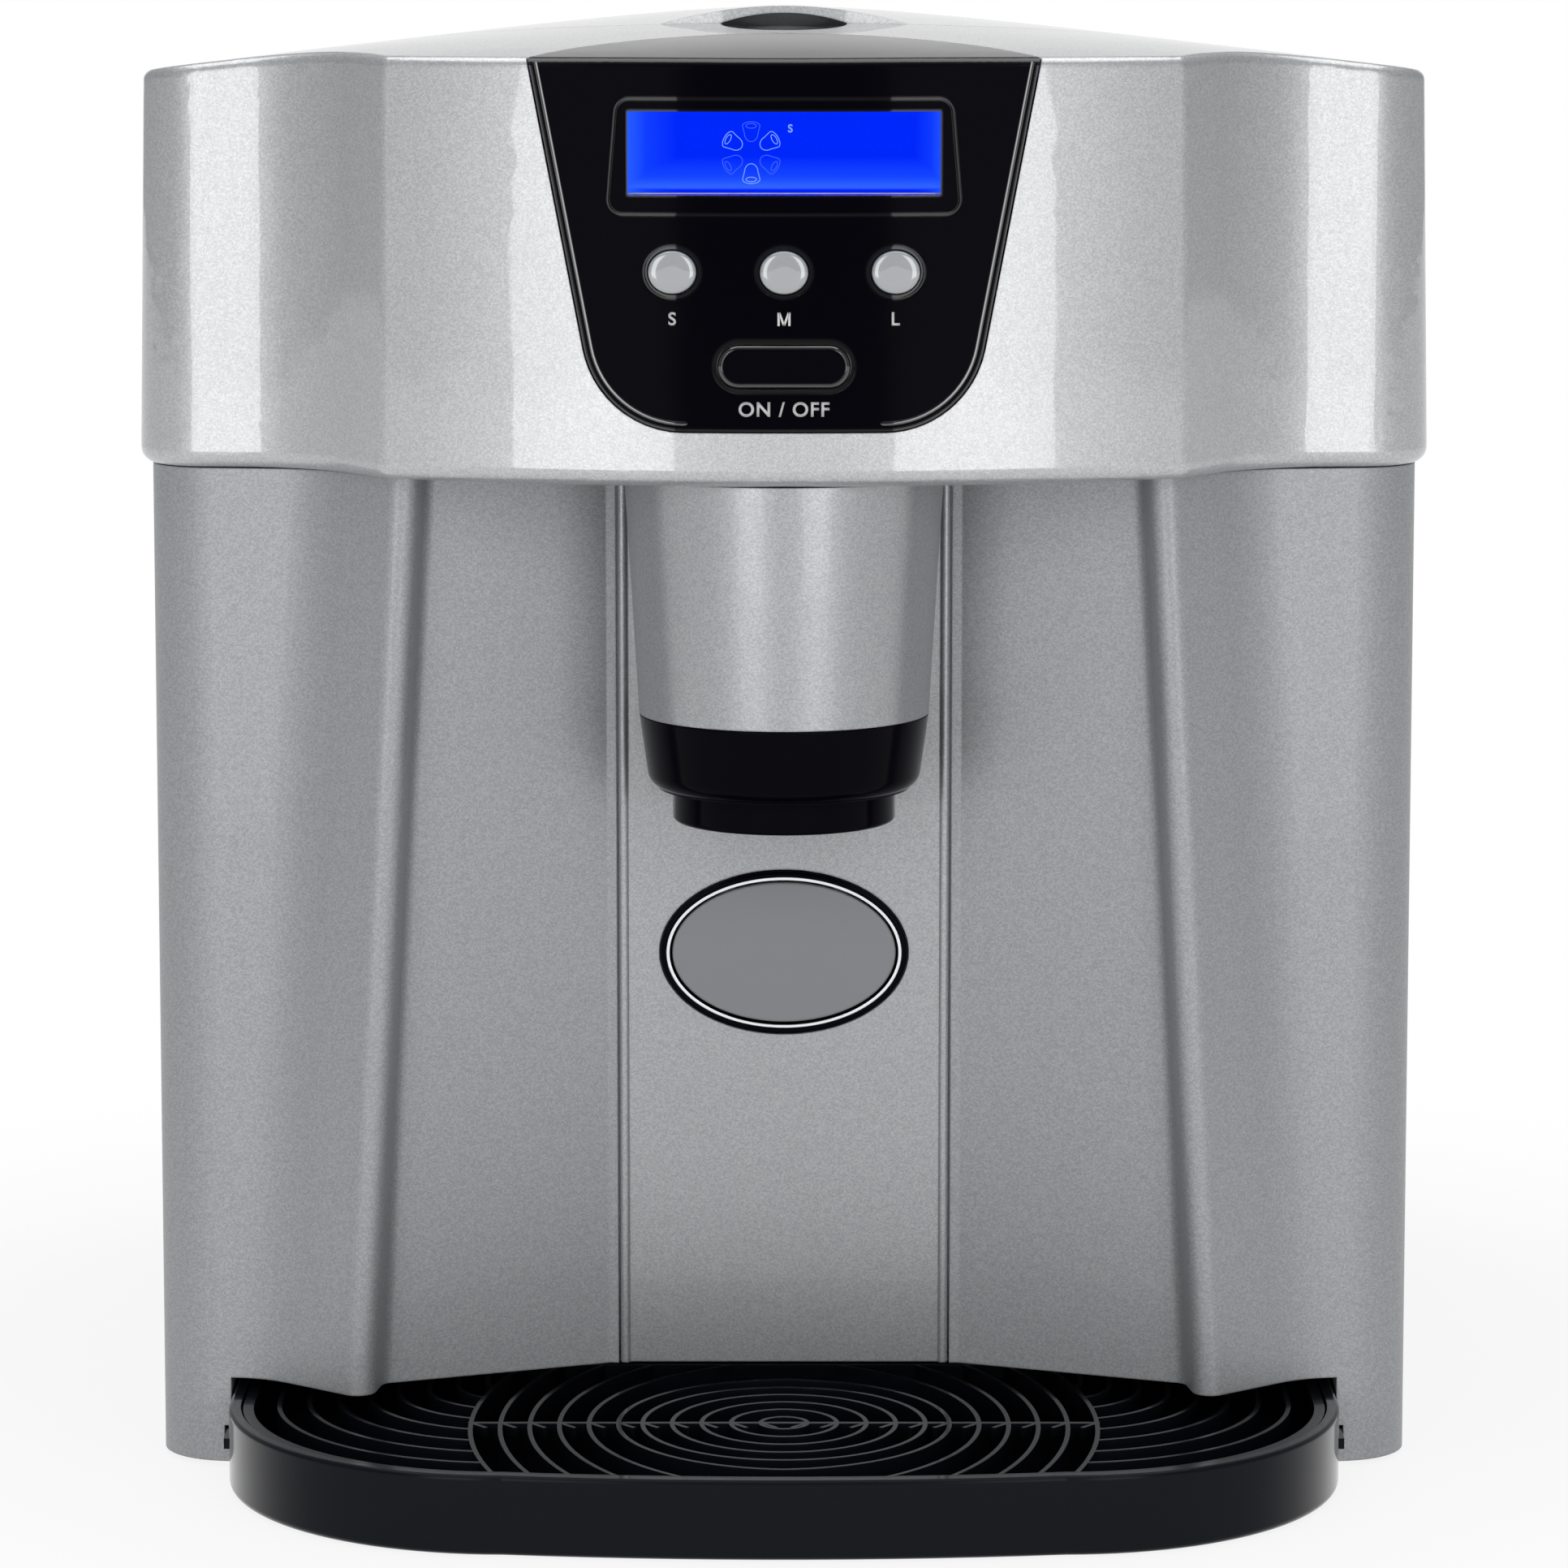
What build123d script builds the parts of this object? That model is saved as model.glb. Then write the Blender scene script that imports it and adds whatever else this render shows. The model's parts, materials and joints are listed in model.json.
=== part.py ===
"""Counter-top ice cube maker with a dispenser bay, as separate pieces.

Millimetres, +Z up, front towards -Y, X to the right seen from the front.
The origin is on the counter, under the middle of the whole object.
"""

import os
from math import cos, pi, radians, sin, sqrt

from build123d import *

os.makedirs("parts", exist_ok=True)

# Whole object
overrun = 6.0  # how far every cut runs past what it cuts
fit_gap = 0.3  # clearance between pieces that are seated by hand or by screws
run_gap = 0.05  # radial clearance of a pin that turns in its hole
slide_gap = 0.5  # clearance beside pieces that slide

# Head, the upper housing
head_half_width = 180.6
head_front = 162.0  # middle of the bowed front, ahead of the origin
head_back = 210.0
head_bottom = 284.3
head_wall = 3.0
head_draft = 2.5  # each side leans in by this much up to the crown
head_draft_height = 114.0
head_floor = 2.7
head_rim_radius = 4.5
head_edge_radius = 3.0
ridge_x = 110.0  # where the bowed front ends
ridge_front = 139.5
ridge_radius = 6.0
flank_x = 133.0  # foot of the hollow flank beside the bow
flank_front = 110.5
flank_radius = 40.0
shoulder_front = 106.0
shoulder_radius = 20.0
rear_radius = 26.0

# Crown of the head: its height over the length and the width
crown_top = 409.2
crown_fall = 30.0
crown_row_places = (-182.0, -110.0, -40.0, 60.0, 140.0, 216.0)
crown_column_places = (0.0, 40.0, 110.0, 184.0)
crown_fall_shares = (
    (0.500, 0.515, 0.680, 0.570),
    (0.125, 0.155, 0.280, 0.527),
    (0.000, 0.063, 0.290, 0.630),
    (0.107, 0.167, 0.413, 0.773),
    (0.308, 0.342, 0.535, 0.874),
    (0.323, 0.373, 0.607, 0.973),
)
crown_block_top = 430.0

# Body, the lower housing with the dispenser bay
body_half_width = 177.6
body_back = 207.0
body_bottom = 1.5
body_wall = 2.6
body_edge_radius = 5.0
body_flank_radius = 30.0
body_step_radius = 4.0
bay_half_width = 50.0  # flat middle of the bay's wall
bay_front = 95.0
# Each list goes from the bay's corner round the column to the side of the body: x, and how far ahead
column_bottom = ((114.6, 119.6), (117.4, 137.4), (148.0, 114.0), (177.6, 109.6))
column_top = ((99.2, 112.6), (100.8, 134.6), (130.0, 107.4), (177.6, 102.4))

# Drip tray and the pocket that it slides into
tray_half_width = 156.0
tray_front = 211.0
tray_bow = 5.0
tray_corner_radius = 80.0
tray_back = 76.0
tray_height = 22.2
tray_bottom = 0.4
tray_floor = 2.0
tray_wall = 2.6
tray_lip = 3.4
tray_lip_height = 3.0
tray_runner = 2.0
tray_runner_height = 3.0
tray_runner_rise = 8.0
tray_runner_front = 125.0
tray_ledge = 3.0
tray_ledge_thickness = 1.6
tray_top_edge = 1.2
tray_foot_edge = 2.0
pocket_wall = 2.2
pocket_gap = 0.8
pocket_top = 25.8

# Grille in the tray
grille_rim = 3.0
grille_depth = 9.0
grille_rim_depth = 4.0
grille_drop = 0.6  # below the tray's lip
grille_gap = 0.6
grille_bar_front = 147.5
grille_bar = 1.8
grille_rib = 1.3
rib_first_radius = 6.5
rib_pitch = 8.2
rib_round_count = 5
rib_arc_count = 6
rib_arc_growth = 24.6  # how much the radius grows from one outer rib to the next
slat_count = 8
slat_first_radius = 66.0
slat_shrink = 8.2
slat_first_front = 189.6
slat_pitch = 11.3
slat_centre_x = 76.0
slat_depth = 5.0
gusset_length = 6.0
gusset_angle = 50.0
gusset_depth = 3.0
grille_clip = 2.0  # how far the ribs reach under the rim
rib_outer_first_x = 46.0
rib_outer_first_radius = 49.0

# Middle panel of the bay
panel_half_width = 46.6
panel_thickness = 2.4
panel_stand = 1.0  # how far it stands out of the bay's wall
panel_bead = 1.3
panel_flange = 6.0
panel_flange_thickness = 1.6
panel_bottom = 26.4

# Spout
spout_front = 117.5
spout_top_front = 114.0
spout_top_radius = 44.3
spout_radius = 40.2
spout_wall = 2.4
spout_bottom = 217.5
nozzle_radius = 37.4
nozzle_shoulder = 196.6
nozzle_shoulder_radius = 5.0
nozzle_ring_radius = 31.0
nozzle_bottom = 187.3
nozzle_bore = 26.5
nozzle_spigot = 6.0
chute_radius = 30.0
chute_wall = 2.0
chute_top = 281.0

# Auger, its trough and the duct to the spout
auger_height = 243.0
auger_radius = 19.0
auger_shaft = 4.0
auger_pitch = 34.0
auger_turns = 4
auger_flight = 2.4
auger_front = 96.0
auger_hub = 3.0
auger_back = 70.0
trough_radius = 21.5
gate_thickness = 1.6
gate_radius = 20.3
gate_pin_radius = 1.5
gate_knuckle = 1.6
gate_front = 103.0
gate_strap = 10.0
gate_hinge_height = 266.6

# Ice bin
bin_half_width = 104.0
bin_front = 86.0
bin_back = 62.0
bin_top = 372.0
bin_window_top = 318.0
bin_wall = 2.2
bin_throat = 276.0  # where the straight walls end and the hopper begins
bin_window_half_width = 72.0
bin_window_bottom = 264.0
bin_flange = 5.0
bin_flange_thickness = 2.0
foam = 8.0
sensor_width = 12.0
sensor_depth = 6.0
sensor_height = 306.0
sensor_front = 50.0

# Frame inside
frame_top = 199.0
frame_plate = 3.0
frame_half_width = 170.0
frame_front = 84.0
frame_back = 198.0
frame_leg = 10.0
frame_leg_x = 160.0
frame_leg_front = 56.0
frame_leg_back = 192.0
saddle = 3.0
saddle_places = (-60.0, 34.0)

# Base pan and feet
pan_half_width = 174.6
pan_front = 70.6
pan_back = 203.9
pan_bottom = 3.4
pan_plate = 2.4
pan_wall_height = 14.0
pan_wall = 1.6
pan_corner = 26.0
pan_notch = 19.0
foot_radius = 10.0
foot_x = 150.0
foot_front = 48.0
foot_back = 178.0
foot_stem = 4.0
foot_stem_height = 2.6

# Ice making unit
plate_x = 82.0
plate_thickness = 2.0
plate_front = 74.0
plate_back = 198.0
plate_top = 380.0
pivot_back = 150.0
pivot_height = 362.0
pivot_radius = 3.0
pivot_reach = 84.0
water_tray_half_width = 70.0
water_tray_front = 85.0
water_tray_back = 140.0
water_tray_bottom = 322.0
water_tray_top = 347.0
water_tray_wall = 1.8
water_tray_arm_front = 125.0
water_tray_arm_back = 155.0
water_tray_arm_low = 335.0
water_tray_arm_high = 367.0
evaporator_half_width = 62.0
evaporator_front = 94.0
evaporator_back = 131.0
evaporator_bottom = 357.0
evaporator_height = 11.0
top_plate_front = 92.0
top_plate_back = 133.0
top_plate_low = 368.4
line_x = 50.0
line_back = 112.0
finger_radius = 4.8
finger_tip_radius = 3.6
finger_bottom = 330.0
finger_pitch = 25.0
finger_rows = (102.0, 122.0)
finger_counts = (5, 4)
ramp_front_height = 265.0
ramp_back_height = 277.0
ramp_thickness = 1.6
ramp_back = 190.0
ramp_front = 63.0
tray_motor_radius = 16.0
auger_motor_radius = 15.0
auger_motor_length = 40.0
tray_motor_length = 20.0

# Lid
lid_front = 93.0
lid_bow_radius = 162.0
lid_half_width = 122.0
lid_back = 122.0
lid_corner_radius = 14.0
lid_thickness = 3.0
lid_gap = 0.6
lid_rear_gap = 2.2
lid_ledge = 5.0
lid_ledge_thickness = 2.4
lid_lip_half_width = 31.0
lid_lip_height = 4.2
lid_lip_front = 88.0
scoop_half_width = 21.0
scoop_half_depth = 4.2
scoop_drop = 1.6
scoop_front = 91.0
scoop_wall = 2.0
liner_inset = 25.0
liner_thickness = 7.0
hinge_radius = 2.0
hinge_knuckle = 2.0
hinge_x = 34.0  # middle of each hinge arm
hinge_arm_half_width = 5.0
hinge_reach = 12.0  # from the lid's rear edge back to the pin
hinge_drop = 7.0  # from the crown down to the pin
hinge_ear = 4.4
hinge_root = 12.0

# Control fascia
fascia_bottom = 299.6
fascia_half_bottom = 49.6
fascia_half_top = 68.6
fascia_corner = 27.0
fascia_side_top = 392.0
fascia_lens_bottom = 386.0
fascia_lens_front = 118.0
fascia_lens_side = 151.9
fascia_gap = 0.5
fascia_thickness = 2.6
fascia_flange = 5.0
fascia_flange_thickness = 1.5
fascia_depth = 20.0

# Display
window_half_width = 42.0
window_bottom = 362.7
window_top = 385.0
frame_recess = 1.0
frame_half_bottom = 47.6
frame_half_top = 45.0
frame_low = 357.6
frame_high = 388.4
frame_corner = 4.0
lens_front = 153.3
lens_thickness = 1.2
lens_edge = 2.6
display_thickness = 6.8
display_edge = 3.6

# Buttons
button_height = 342.2
button_places = (-30.0, 0.0, 30.0)
button_names = ("button_s", "button_m", "button_l")
button_half_width = 6.5
button_half_height = 5.8
button_well = 1.1
button_gap = 0.35
button_proud = 1.2
button_dome = 1.5
button_flange = 1.6
button_flange_thickness = 1.4
button_travel = 1.2
power_height = 317.0
power_half_width = 17.9
power_half_height = 5.9
post_radius = 2.5
post_places = ((38.0, 312.0), (52.0, 352.0))  # x and z of the posts that hold the board
board_front = 145.0
board_thickness = 1.6
board_half_width = 54.0
board_bottom = 306.0
board_top = 392.0
switch_size = 6.0
switch_height = 3.0
switch_plunger = 1.6

# Paddle in the bay
paddle_height = 145.5
paddle_half_width = 35.0
paddle_half_height = 23.4
bezel_width = 1.7
bezel_proud = 1.4
trim_width = 0.9
trim_proud = 1.0
paddle_gap = 0.8
paddle_thickness = 2.6
paddle_pin_height = 176.0
paddle_pin_front = 90.4
paddle_pin_radius = 1.5
paddle_arm = 4.0
paddle_arm_x = 14.0
paddle_arm_bottom = 154.0
paddle_knuckle = 1.6
paddle_edge = 0.6
housing_wall = 2.0
housing_depth = 20.0
housing_bottom = 118.0
housing_top = 182.0
housing_half_width = 38.0
spring_radius = 2.6
spring_wire = 0.4
spring_pitch = 1.2
spring_turns = 6
spring_leg = 12.0
switch_x = 12.0
switch_width = 12.0
switch_bottom = 130.0
switch_tall = 10.0
switch_front = 89.9

# Refrigeration
compressor_x = 78.0
compressor_back = 108.0
compressor_radius = 54.0
compressor_height = 132.0
compressor_bottom = 17.0
compressor_plate = 3.0
compressor_dome = 22.0
compressor_foot_edge = 6.0
compressor_spigot = 4.5
compressor_box = (66.0, 90.0, 40.0, 60.0, 90.0)  # terminal box: x limits, front, z limits
compressor_plate_half_width = 62.0
compressor_plate_half_depth = 48.0
mount_radius = 9.0
mount_x = 50.0
mount_y = 38.0
condenser_x = 152.0
condenser_depth = 20.0
condenser_front = 46.0
condenser_back = 178.0
condenser_bottom = 6.1
condenser_top = 150.0
condenser_fin = 0.8
condenser_fin_pitch = 6.6
condenser_tube = 3.0
condenser_end = 1.2
condenser_rows = 5
shroud_x = 126.0
shroud_plate = 2.0
fan_radius = 56.0
fan_hub = 17.0
fan_hub_depth = 14.0
fan_chord = 24.0
fan_x = 132.0
fan_blade = 1.8
fan_height = 78.0
fan_back = 112.0
shroud_bar = 6.0
shroud_bar_back = 2.6
shroud_hole = 6.0
fan_tail = 118.0
fan_blade_count = 5
fan_blade_pitch = 32.0
fan_clear = 3.0
fan_shaft = 2.5
fan_motor_radius = 22.0
fan_motor_length = 30.0
tube_radius = 3.0
tube_bend = 12.0
line_top = 386.0
line_outer = 108.0
line_low = 172.0
line_second_x = 48.0
line_second_back = 80.0
drier_radius = 9.0
drier_length = 52.0
drier_bottom = 210.0
drier_taper = 6.0
valve_size = 22.0
valve_bottom = 215.0
valve_tall = 25.0
valve_coil = 14.0

# Water circuit
tank_left = 150.0
tank_right = 20.0
tank_front = 62.0
tank_back = 34.0
tank_height = 88.0
tank_wall = 2.2
tank_neck_radius = 15.0
tank_neck_height = 12.0
tank_bottom = 6.1
tank_neck_x = 65.0
tank_neck_front = 20.0
tank_edge = 4.0
pump_x = 58.0
pump_width = 38.0
pump_depth = 32.0
pump_front = 40.0
pump_height = 34.0
pump_bottom = 5.8
pump_case = 20.0
pump_rotor = 14.0
pump_spigot = 2.7
spigot_height = 20.0
hose_radius = 4.0
hose_bore = 2.8
hose_bend = 12.0
hose_x = 120.0
hose_low = 60.0
hose_high = 352.0
hose_end = 67.0
hose_back = 104.0
return_front = 20.0
return_top = 219.0
return_low = 170.0
return_end = 100.0
drain_x = 0.0
drain_height = 24.0
drain_radius = 5.0
drain_bore = 3.6
cap_radius = 9.0
cap_length = 10.0
recess_radius = 16.0
recess_depth = 16.0
recess_wall = 1.6

# Rear panel and electrics
rear_half_width = 158.0
rear_opening_half = 146.0
rear_opening_bottom = 16.0
rear_opening_top = 270.0
rear_corner = 10.0
rear_bottom = 10.0
rear_top = 276.0
rear_plate = 2.4
louvre_width = 62.0
louvre_height = 4.0
louvre_pitch = 9.0
louvre_count = 14
louvre_x = 78.0
louvre_bottom = 96.0
side_louvre_count = 11
side_louvre_bottom = 30.0
side_louvre_pitch = 11.0
side_louvre_height = 4.0
side_louvre_front = 60.0
side_louvre_back = 164.0
inlet_x = 118.0
inlet_height = 44.0
inlet_width = 27.0
inlet_tall = 20.0
inlet_depth = 22.0
inlet_flange = 11.0
inlet_flange_thickness = 2.3
inlet_socket = 16.0
inlet_socket_wall = 3.0
inlet_pin = 6.0
inlet_pin_wide = 4.0
inlet_pin_thick = 2.0
inlet_pin_length = 12.0
main_board_x = 160.0
main_board_front = 30.0
main_board_back = 30.0
main_board_bottom = 70.0
main_board_top = 160.0
main_board_thickness = 2.0
board_post = 3.0
board_post_inset = 6.0
screw_radius = 1.8
screw_head = 3.6
screw_length = 9.0
screw_x = 153.0
screw_heights = (24.0, 143.0, 262.0)
screw_slot = 0.9
screw_slot_depth = 0.8


def save(piece, name):
    """Label a finished piece and write it under its name."""
    piece.label = name
    export_step(piece, f"parts/{name}.step")


def slab(x0, x1, y0, y1, z0, z1, mode=Mode.ADD):
    """Box between these limits."""
    with Locations(((x0 + x1) / 2, (y0 + y1) / 2, (z0 + z1) / 2)):
        Box(x1 - x0, y1 - y0, z1 - z0, mode=mode)


def rod(radius, start, end, mode=Mode.ADD):
    """Round bar from one point to another."""
    path = Vector(*end) - Vector(*start)
    low = (Align.CENTER, Align.CENTER, Align.MIN)
    with Locations(Plane(origin=start, z_dir=path)):
        Cylinder(radius, path.length, align=low, mode=mode)


def nearest(sketch, places):
    """The sketch's corners that lie nearest to these places."""
    corners = sketch.vertices()
    return [corners.sort_by_distance((x, y, 0))[0] for x, y in places]


def both_sides(x, y):
    """A place and its mirror image."""
    return [(x, y), (-x, y)]


def head_plan(height, inset):
    """Outline of the head in plan at a height, drawn in by inset."""
    with BuildSketch(Plane.XY.offset(height)) as plan:
        with BuildLine():
            ThreePointArc((-ridge_x, -ridge_front), (0, -head_front), (ridge_x, -ridge_front))
            Polyline(
                (ridge_x, -ridge_front),
                (flank_x, -flank_front),
                (head_half_width, -shoulder_front),
                (head_half_width, head_back),
                (-head_half_width, head_back),
                (-head_half_width, -shoulder_front),
                (-flank_x, -flank_front),
                (-ridge_x, -ridge_front),
            )
        make_face()
        if inset:
            offset(amount=-inset, kind=Kind.INTERSECTION)
        fillet(nearest(plan, both_sides(ridge_x, -ridge_front)), max(ridge_radius - inset, fit_gap))
        fillet(nearest(plan, both_sides(flank_x, -flank_front)), flank_radius + inset)
        fillet(nearest(plan, both_sides(head_half_width, -shoulder_front)), shoulder_radius - inset)
        fillet(nearest(plan, both_sides(head_half_width, head_back)), rear_radius - inset)
    return plan.sketch


def head_block(inset, bottom):
    """The head's drafted sides as a solid block, drawn in by inset."""
    top = head_bottom + head_draft_height + overrun * 3
    lean = head_draft * (top - head_bottom) / head_draft_height
    with BuildPart() as block:
        loft([head_plan(bottom, inset), head_plan(top, inset + lean)], ruled=True)
    return block.part


def crown_block(lower):
    """Everything above the head's crowned top, set lower by this much."""
    edge = crown_column_places[-1]
    with BuildPart() as block:
        for place, shares in zip(crown_row_places, crown_fall_shares):
            heights = [crown_top - lower - crown_fall * share for share in shares]
            right = list(zip(crown_column_places, heights))
            left = [(-x, z) for x, z in reversed(right[1:])]
            with BuildSketch(Plane.XZ.offset(-place)):
                with BuildLine():
                    Spline(*left, *right)
                    over = [(edge, heights[-1]), (edge, crown_block_top)]
                    Polyline(*over, *[(-x, z) for x, z in reversed(over)])
                make_face()
        loft()
    return block.part


def head_core(inset, bottom):
    """What lies inside the head's skin when the skin is this thick."""
    with BuildPart() as core:
        add(head_block(inset, bottom))
        add(crown_block(inset), mode=Mode.SUBTRACT)
    return core.part


def head_shape():
    """Outer shape of the head with its rounded edges."""
    with BuildPart() as shape:
        add(head_block(0, head_bottom))
        add(crown_block(0), mode=Mode.SUBTRACT)
        fillet(shape.faces().sort_by(Axis.Z)[0].outer_wire().edges(), head_rim_radius)
        fillet(shape.faces().sort_by(Axis.Z)[-1].outer_wire().edges(), head_edge_radius)
    return shape.part


def body_plan(height, column, inset):
    """Outline of the lower body in plan at a height, with the bay and the two columns."""
    right = [(bay_half_width, -bay_front)] + [(x, -front) for x, front in column]
    right.append((body_half_width, body_back))
    left = [(-x, y) for x, y in reversed(right)]
    step, edge, foot, shoulder = [(x, -front) for x, front in column]
    with BuildSketch(Plane.XY.offset(height)) as plan:
        with BuildLine():
            Polyline(*right, *left, close=True)
        make_face()
        if inset:
            offset(amount=-inset, kind=Kind.INTERSECTION)
        fillet(nearest(plan, both_sides(*step)), body_step_radius + inset)
        fillet(nearest(plan, both_sides(*edge)), max(body_edge_radius - inset, fit_gap))
        fillet(nearest(plan, both_sides(*foot)), body_flank_radius + inset)
        fillet(nearest(plan, both_sides(*shoulder)), shoulder_radius - inset)
        fillet(nearest(plan, both_sides(body_half_width, body_back)), rear_radius - inset)
    return plan.sketch


def body_block(inset):
    """The lower body as a solid block, drawn in by inset."""
    with BuildPart() as block:
        low = body_plan(body_bottom, column_bottom, inset)
        high = body_plan(head_bottom - fit_gap, column_top, inset)
        loft([low, high], ruled=True)
    return block.part


def tray_plan(height, inset):
    """Outline of the drip tray in plan at a height, drawn in by inset."""
    corner_x = tray_half_width - tray_corner_radius
    corner_front = tray_front - tray_bow - tray_corner_radius
    side = tray_corner_radius - inset
    reach = tray_half_width - inset
    front = tray_front - inset
    back = tray_back + inset
    with BuildSketch(Plane.XY.offset(height)) as plan:
        with BuildLine():
            ThreePointArc(
                (-corner_x, -corner_front - side),
                (0, -front),
                (corner_x, -corner_front - side),
            )
            for way in (1, -1):
                ThreePointArc(
                    (way * corner_x, -corner_front - side),
                    (way * (corner_x + side * sin(pi / 4)), -corner_front - side * sin(pi / 4)),
                    (way * reach, -corner_front),
                )
            Polyline((reach, -corner_front), (reach, -back), (-reach, -back), (-reach, -corner_front))
        make_face()
    return plan.sketch


def fascia_region(grow):
    """What the control fascia covers of the head's front and top, grown by this much."""
    widen = (fascia_half_top - fascia_half_bottom) / (head_bottom + head_draft_height - fascia_bottom)
    low = fascia_bottom - grow
    high = crown_block_top
    half_low = fascia_half_bottom + grow - widen * grow
    half_high = fascia_half_bottom + grow + widen * (high - fascia_bottom)
    half = fascia_half_bottom + grow + widen * (crown_top - fascia_bottom)
    front = -head_front - overrun
    with BuildPart() as region:
        slab(-half_high, half_high, front, fascia_depth - head_front, low, fascia_side_top)
        with BuildSketch(Plane.XY.offset(fascia_lens_bottom)) as lens:
            back = -fascia_lens_side
            with BuildLine():
                ThreePointArc((-half, back), (0, grow - fascia_lens_front), (half, back))
                Polyline((half, back), (half, front), (-half, front), (-half, back))
            make_face()
        extrude(lens.sketch, amount=crown_block_top - fascia_lens_bottom)
        # Both parts end at the sloping sides
        with BuildSketch(Plane.XZ.offset(head_front + overrun)) as shield:
            with BuildLine():
                right = ((half_low, low), (half_high, high))
                left = ((-half_high, high), (-half_low, low))
                Polyline(*right, *left, close=True)
            make_face()
            fillet(nearest(shield, both_sides(half_low, low)), fascia_corner + grow)
        extrude(shield.sketch, amount=-head_front, mode=Mode.INTERSECT)
    return region.part


def oval(half_width, half_height, x, z, front, depth, mode=Mode.ADD):
    """Upright oval block whose face looks forward, from a front plane back by depth."""
    with BuildSketch(Plane.XZ.offset(front)) as face:
        with Locations((x, z)):
            Ellipse(half_width, half_height)
    extrude(face.sketch, amount=-depth, mode=mode)


def face_front(x, z):
    """How far ahead the head's bowed front lies at this place."""
    sag = head_front - ridge_front
    bow = (ridge_x * ridge_x + sag * sag) / (2 * sag)
    lean = head_draft * (z - head_bottom) / head_draft_height
    return head_front - lean - (bow - sqrt(bow * bow - x * x))


def crown_height(x, y):
    """Height of the crown at a place, read straight from the solid."""
    ray = Axis((x, y, crown_block_top - overrun), (0, 0, -1))
    return min(point.Z for point, normal in crown.find_intersection_points(ray))


def lid_plan(height, inset):
    """Outline of the lid in plan at a height, drawn in by inset."""
    centre = lid_bow_radius - lid_front
    side = sqrt(lid_bow_radius * lid_bow_radius - lid_half_width * lid_half_width)
    half_side = sqrt(lid_bow_radius * lid_bow_radius - lid_half_width * lid_half_width / 4)
    with BuildSketch(Plane.XY.offset(height)) as plan:
        with BuildLine():
            ThreePointArc(
                (-lid_half_width, centre - side),
                (0, -lid_front),
                (lid_half_width, centre - side),
            )
            Polyline(
                (lid_half_width, centre - side),
                (lid_half_width, lid_back),
                (-lid_half_width, lid_back),
                (-lid_half_width, centre - side),
            )
        make_face()
        if inset:
            offset(amount=-inset, kind=Kind.INTERSECTION)
        fillet(plan.vertices(), lid_corner_radius - inset / 2)
    return plan.sketch


def lid_prism(inset, rear=0.0):
    """Upright block over the lid's outline, with its back moved by rear."""
    with BuildPart() as prism:
        add(lid_plan(evaporator_bottom, inset))
        extrude(amount=crown_block_top - evaporator_bottom)
        if rear:
            half = lid_half_width - inset
            back = lid_back - inset
            front = back - lid_corner_radius * 2
            slab(-half, half, front, back + rear, evaporator_bottom, crown_block_top)
            upright = prism.edges().filter_by(Axis.Z)
            corners = upright.filter_by_position(Axis.Y, back, back + rear + fit_gap)
            fillet(corners, lid_corner_radius - inset / 2)
    return prism.part


def scoop(grow):
    """Finger scoop under the lid's lip, a lens of two round caps, grown by this much."""
    place = crown_height(0, -lid_front) - scoop_drop
    wide = scoop_half_width + grow
    tall = scoop_half_depth + grow
    ball = (wide * wide + tall * tall) / (2 * tall)
    with BuildPart() as lens:
        with Locations((0, -scoop_front, place + ball - tall)):
            Sphere(ball)
        with Locations((0, -scoop_front, place + tall - ball)):
            Sphere(ball, mode=Mode.INTERSECT)
    return lens.part


def hinge_slab(x0, x1, y0, y1, z0, z1, mode=Mode.ADD):
    """Box on each side of the lid's hinge line, mirrored left to right."""
    for way in (1, -1):
        low, high = sorted((way * x0, way * x1))
        slab(low, high, y0, y1, z0, z1, mode=mode)


def lid_arms(front):
    """Upper part of the lid's arms, from its back edge up to the underside of the crown."""
    with BuildPart() as arms:
        hinge_slab(arm_low, arm_high, front, lid_back - fit_gap, hinge_height, crown_top)
        add(crown_block(fit_gap), mode=Mode.SUBTRACT)
    return arms.part


def lid_ledge_ring():
    """Ledge round the lid's opening, hung under the head's skin."""
    with BuildPart() as ring:
        add(lid_prism(-lid_ledge))
        add(lid_prism(lid_ledge), mode=Mode.SUBTRACT)
        add(crown_block(head_wall - fit_gap), mode=Mode.SUBTRACT)
        add(crown_block(lid_thickness + fit_gap + lid_ledge_thickness), mode=Mode.INTERSECT)
    return ring.part


def scoop_cup():
    """Cup round the finger scoop, below the crown."""
    with BuildPart() as cup:
        add(scoop(scoop_wall))
        add(crown_block(fit_gap), mode=Mode.SUBTRACT)
    return cup.part


def lid_pocket():
    """Room for the lid in the head's crown."""
    with BuildPart() as pocket:
        add(lid_prism(-lid_gap, lid_rear_gap - lid_gap))
        add(crown_block(lid_thickness + fit_gap), mode=Mode.INTERSECT)
    return pocket.part


def hinge_ears():
    """Ears under the head's skin that hold the lid's hinge pins."""
    with BuildPart() as ears:
        front = hinge_back - ear_half
        hinge_slab(ear_low, ear_high, front, hinge_back + ear_half, hinge_height - ear_half, crown_top)
        add(crown_block(head_wall / 2), mode=Mode.SUBTRACT)
    return ears.part


def lid_skin():
    """The lid's plate, which follows the crown."""
    with BuildPart() as skin:
        add(lid_prism(0))
        add(crown_block(0), mode=Mode.SUBTRACT)
        add(crown_block(lid_thickness), mode=Mode.INTERSECT)
    return skin.part


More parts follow.
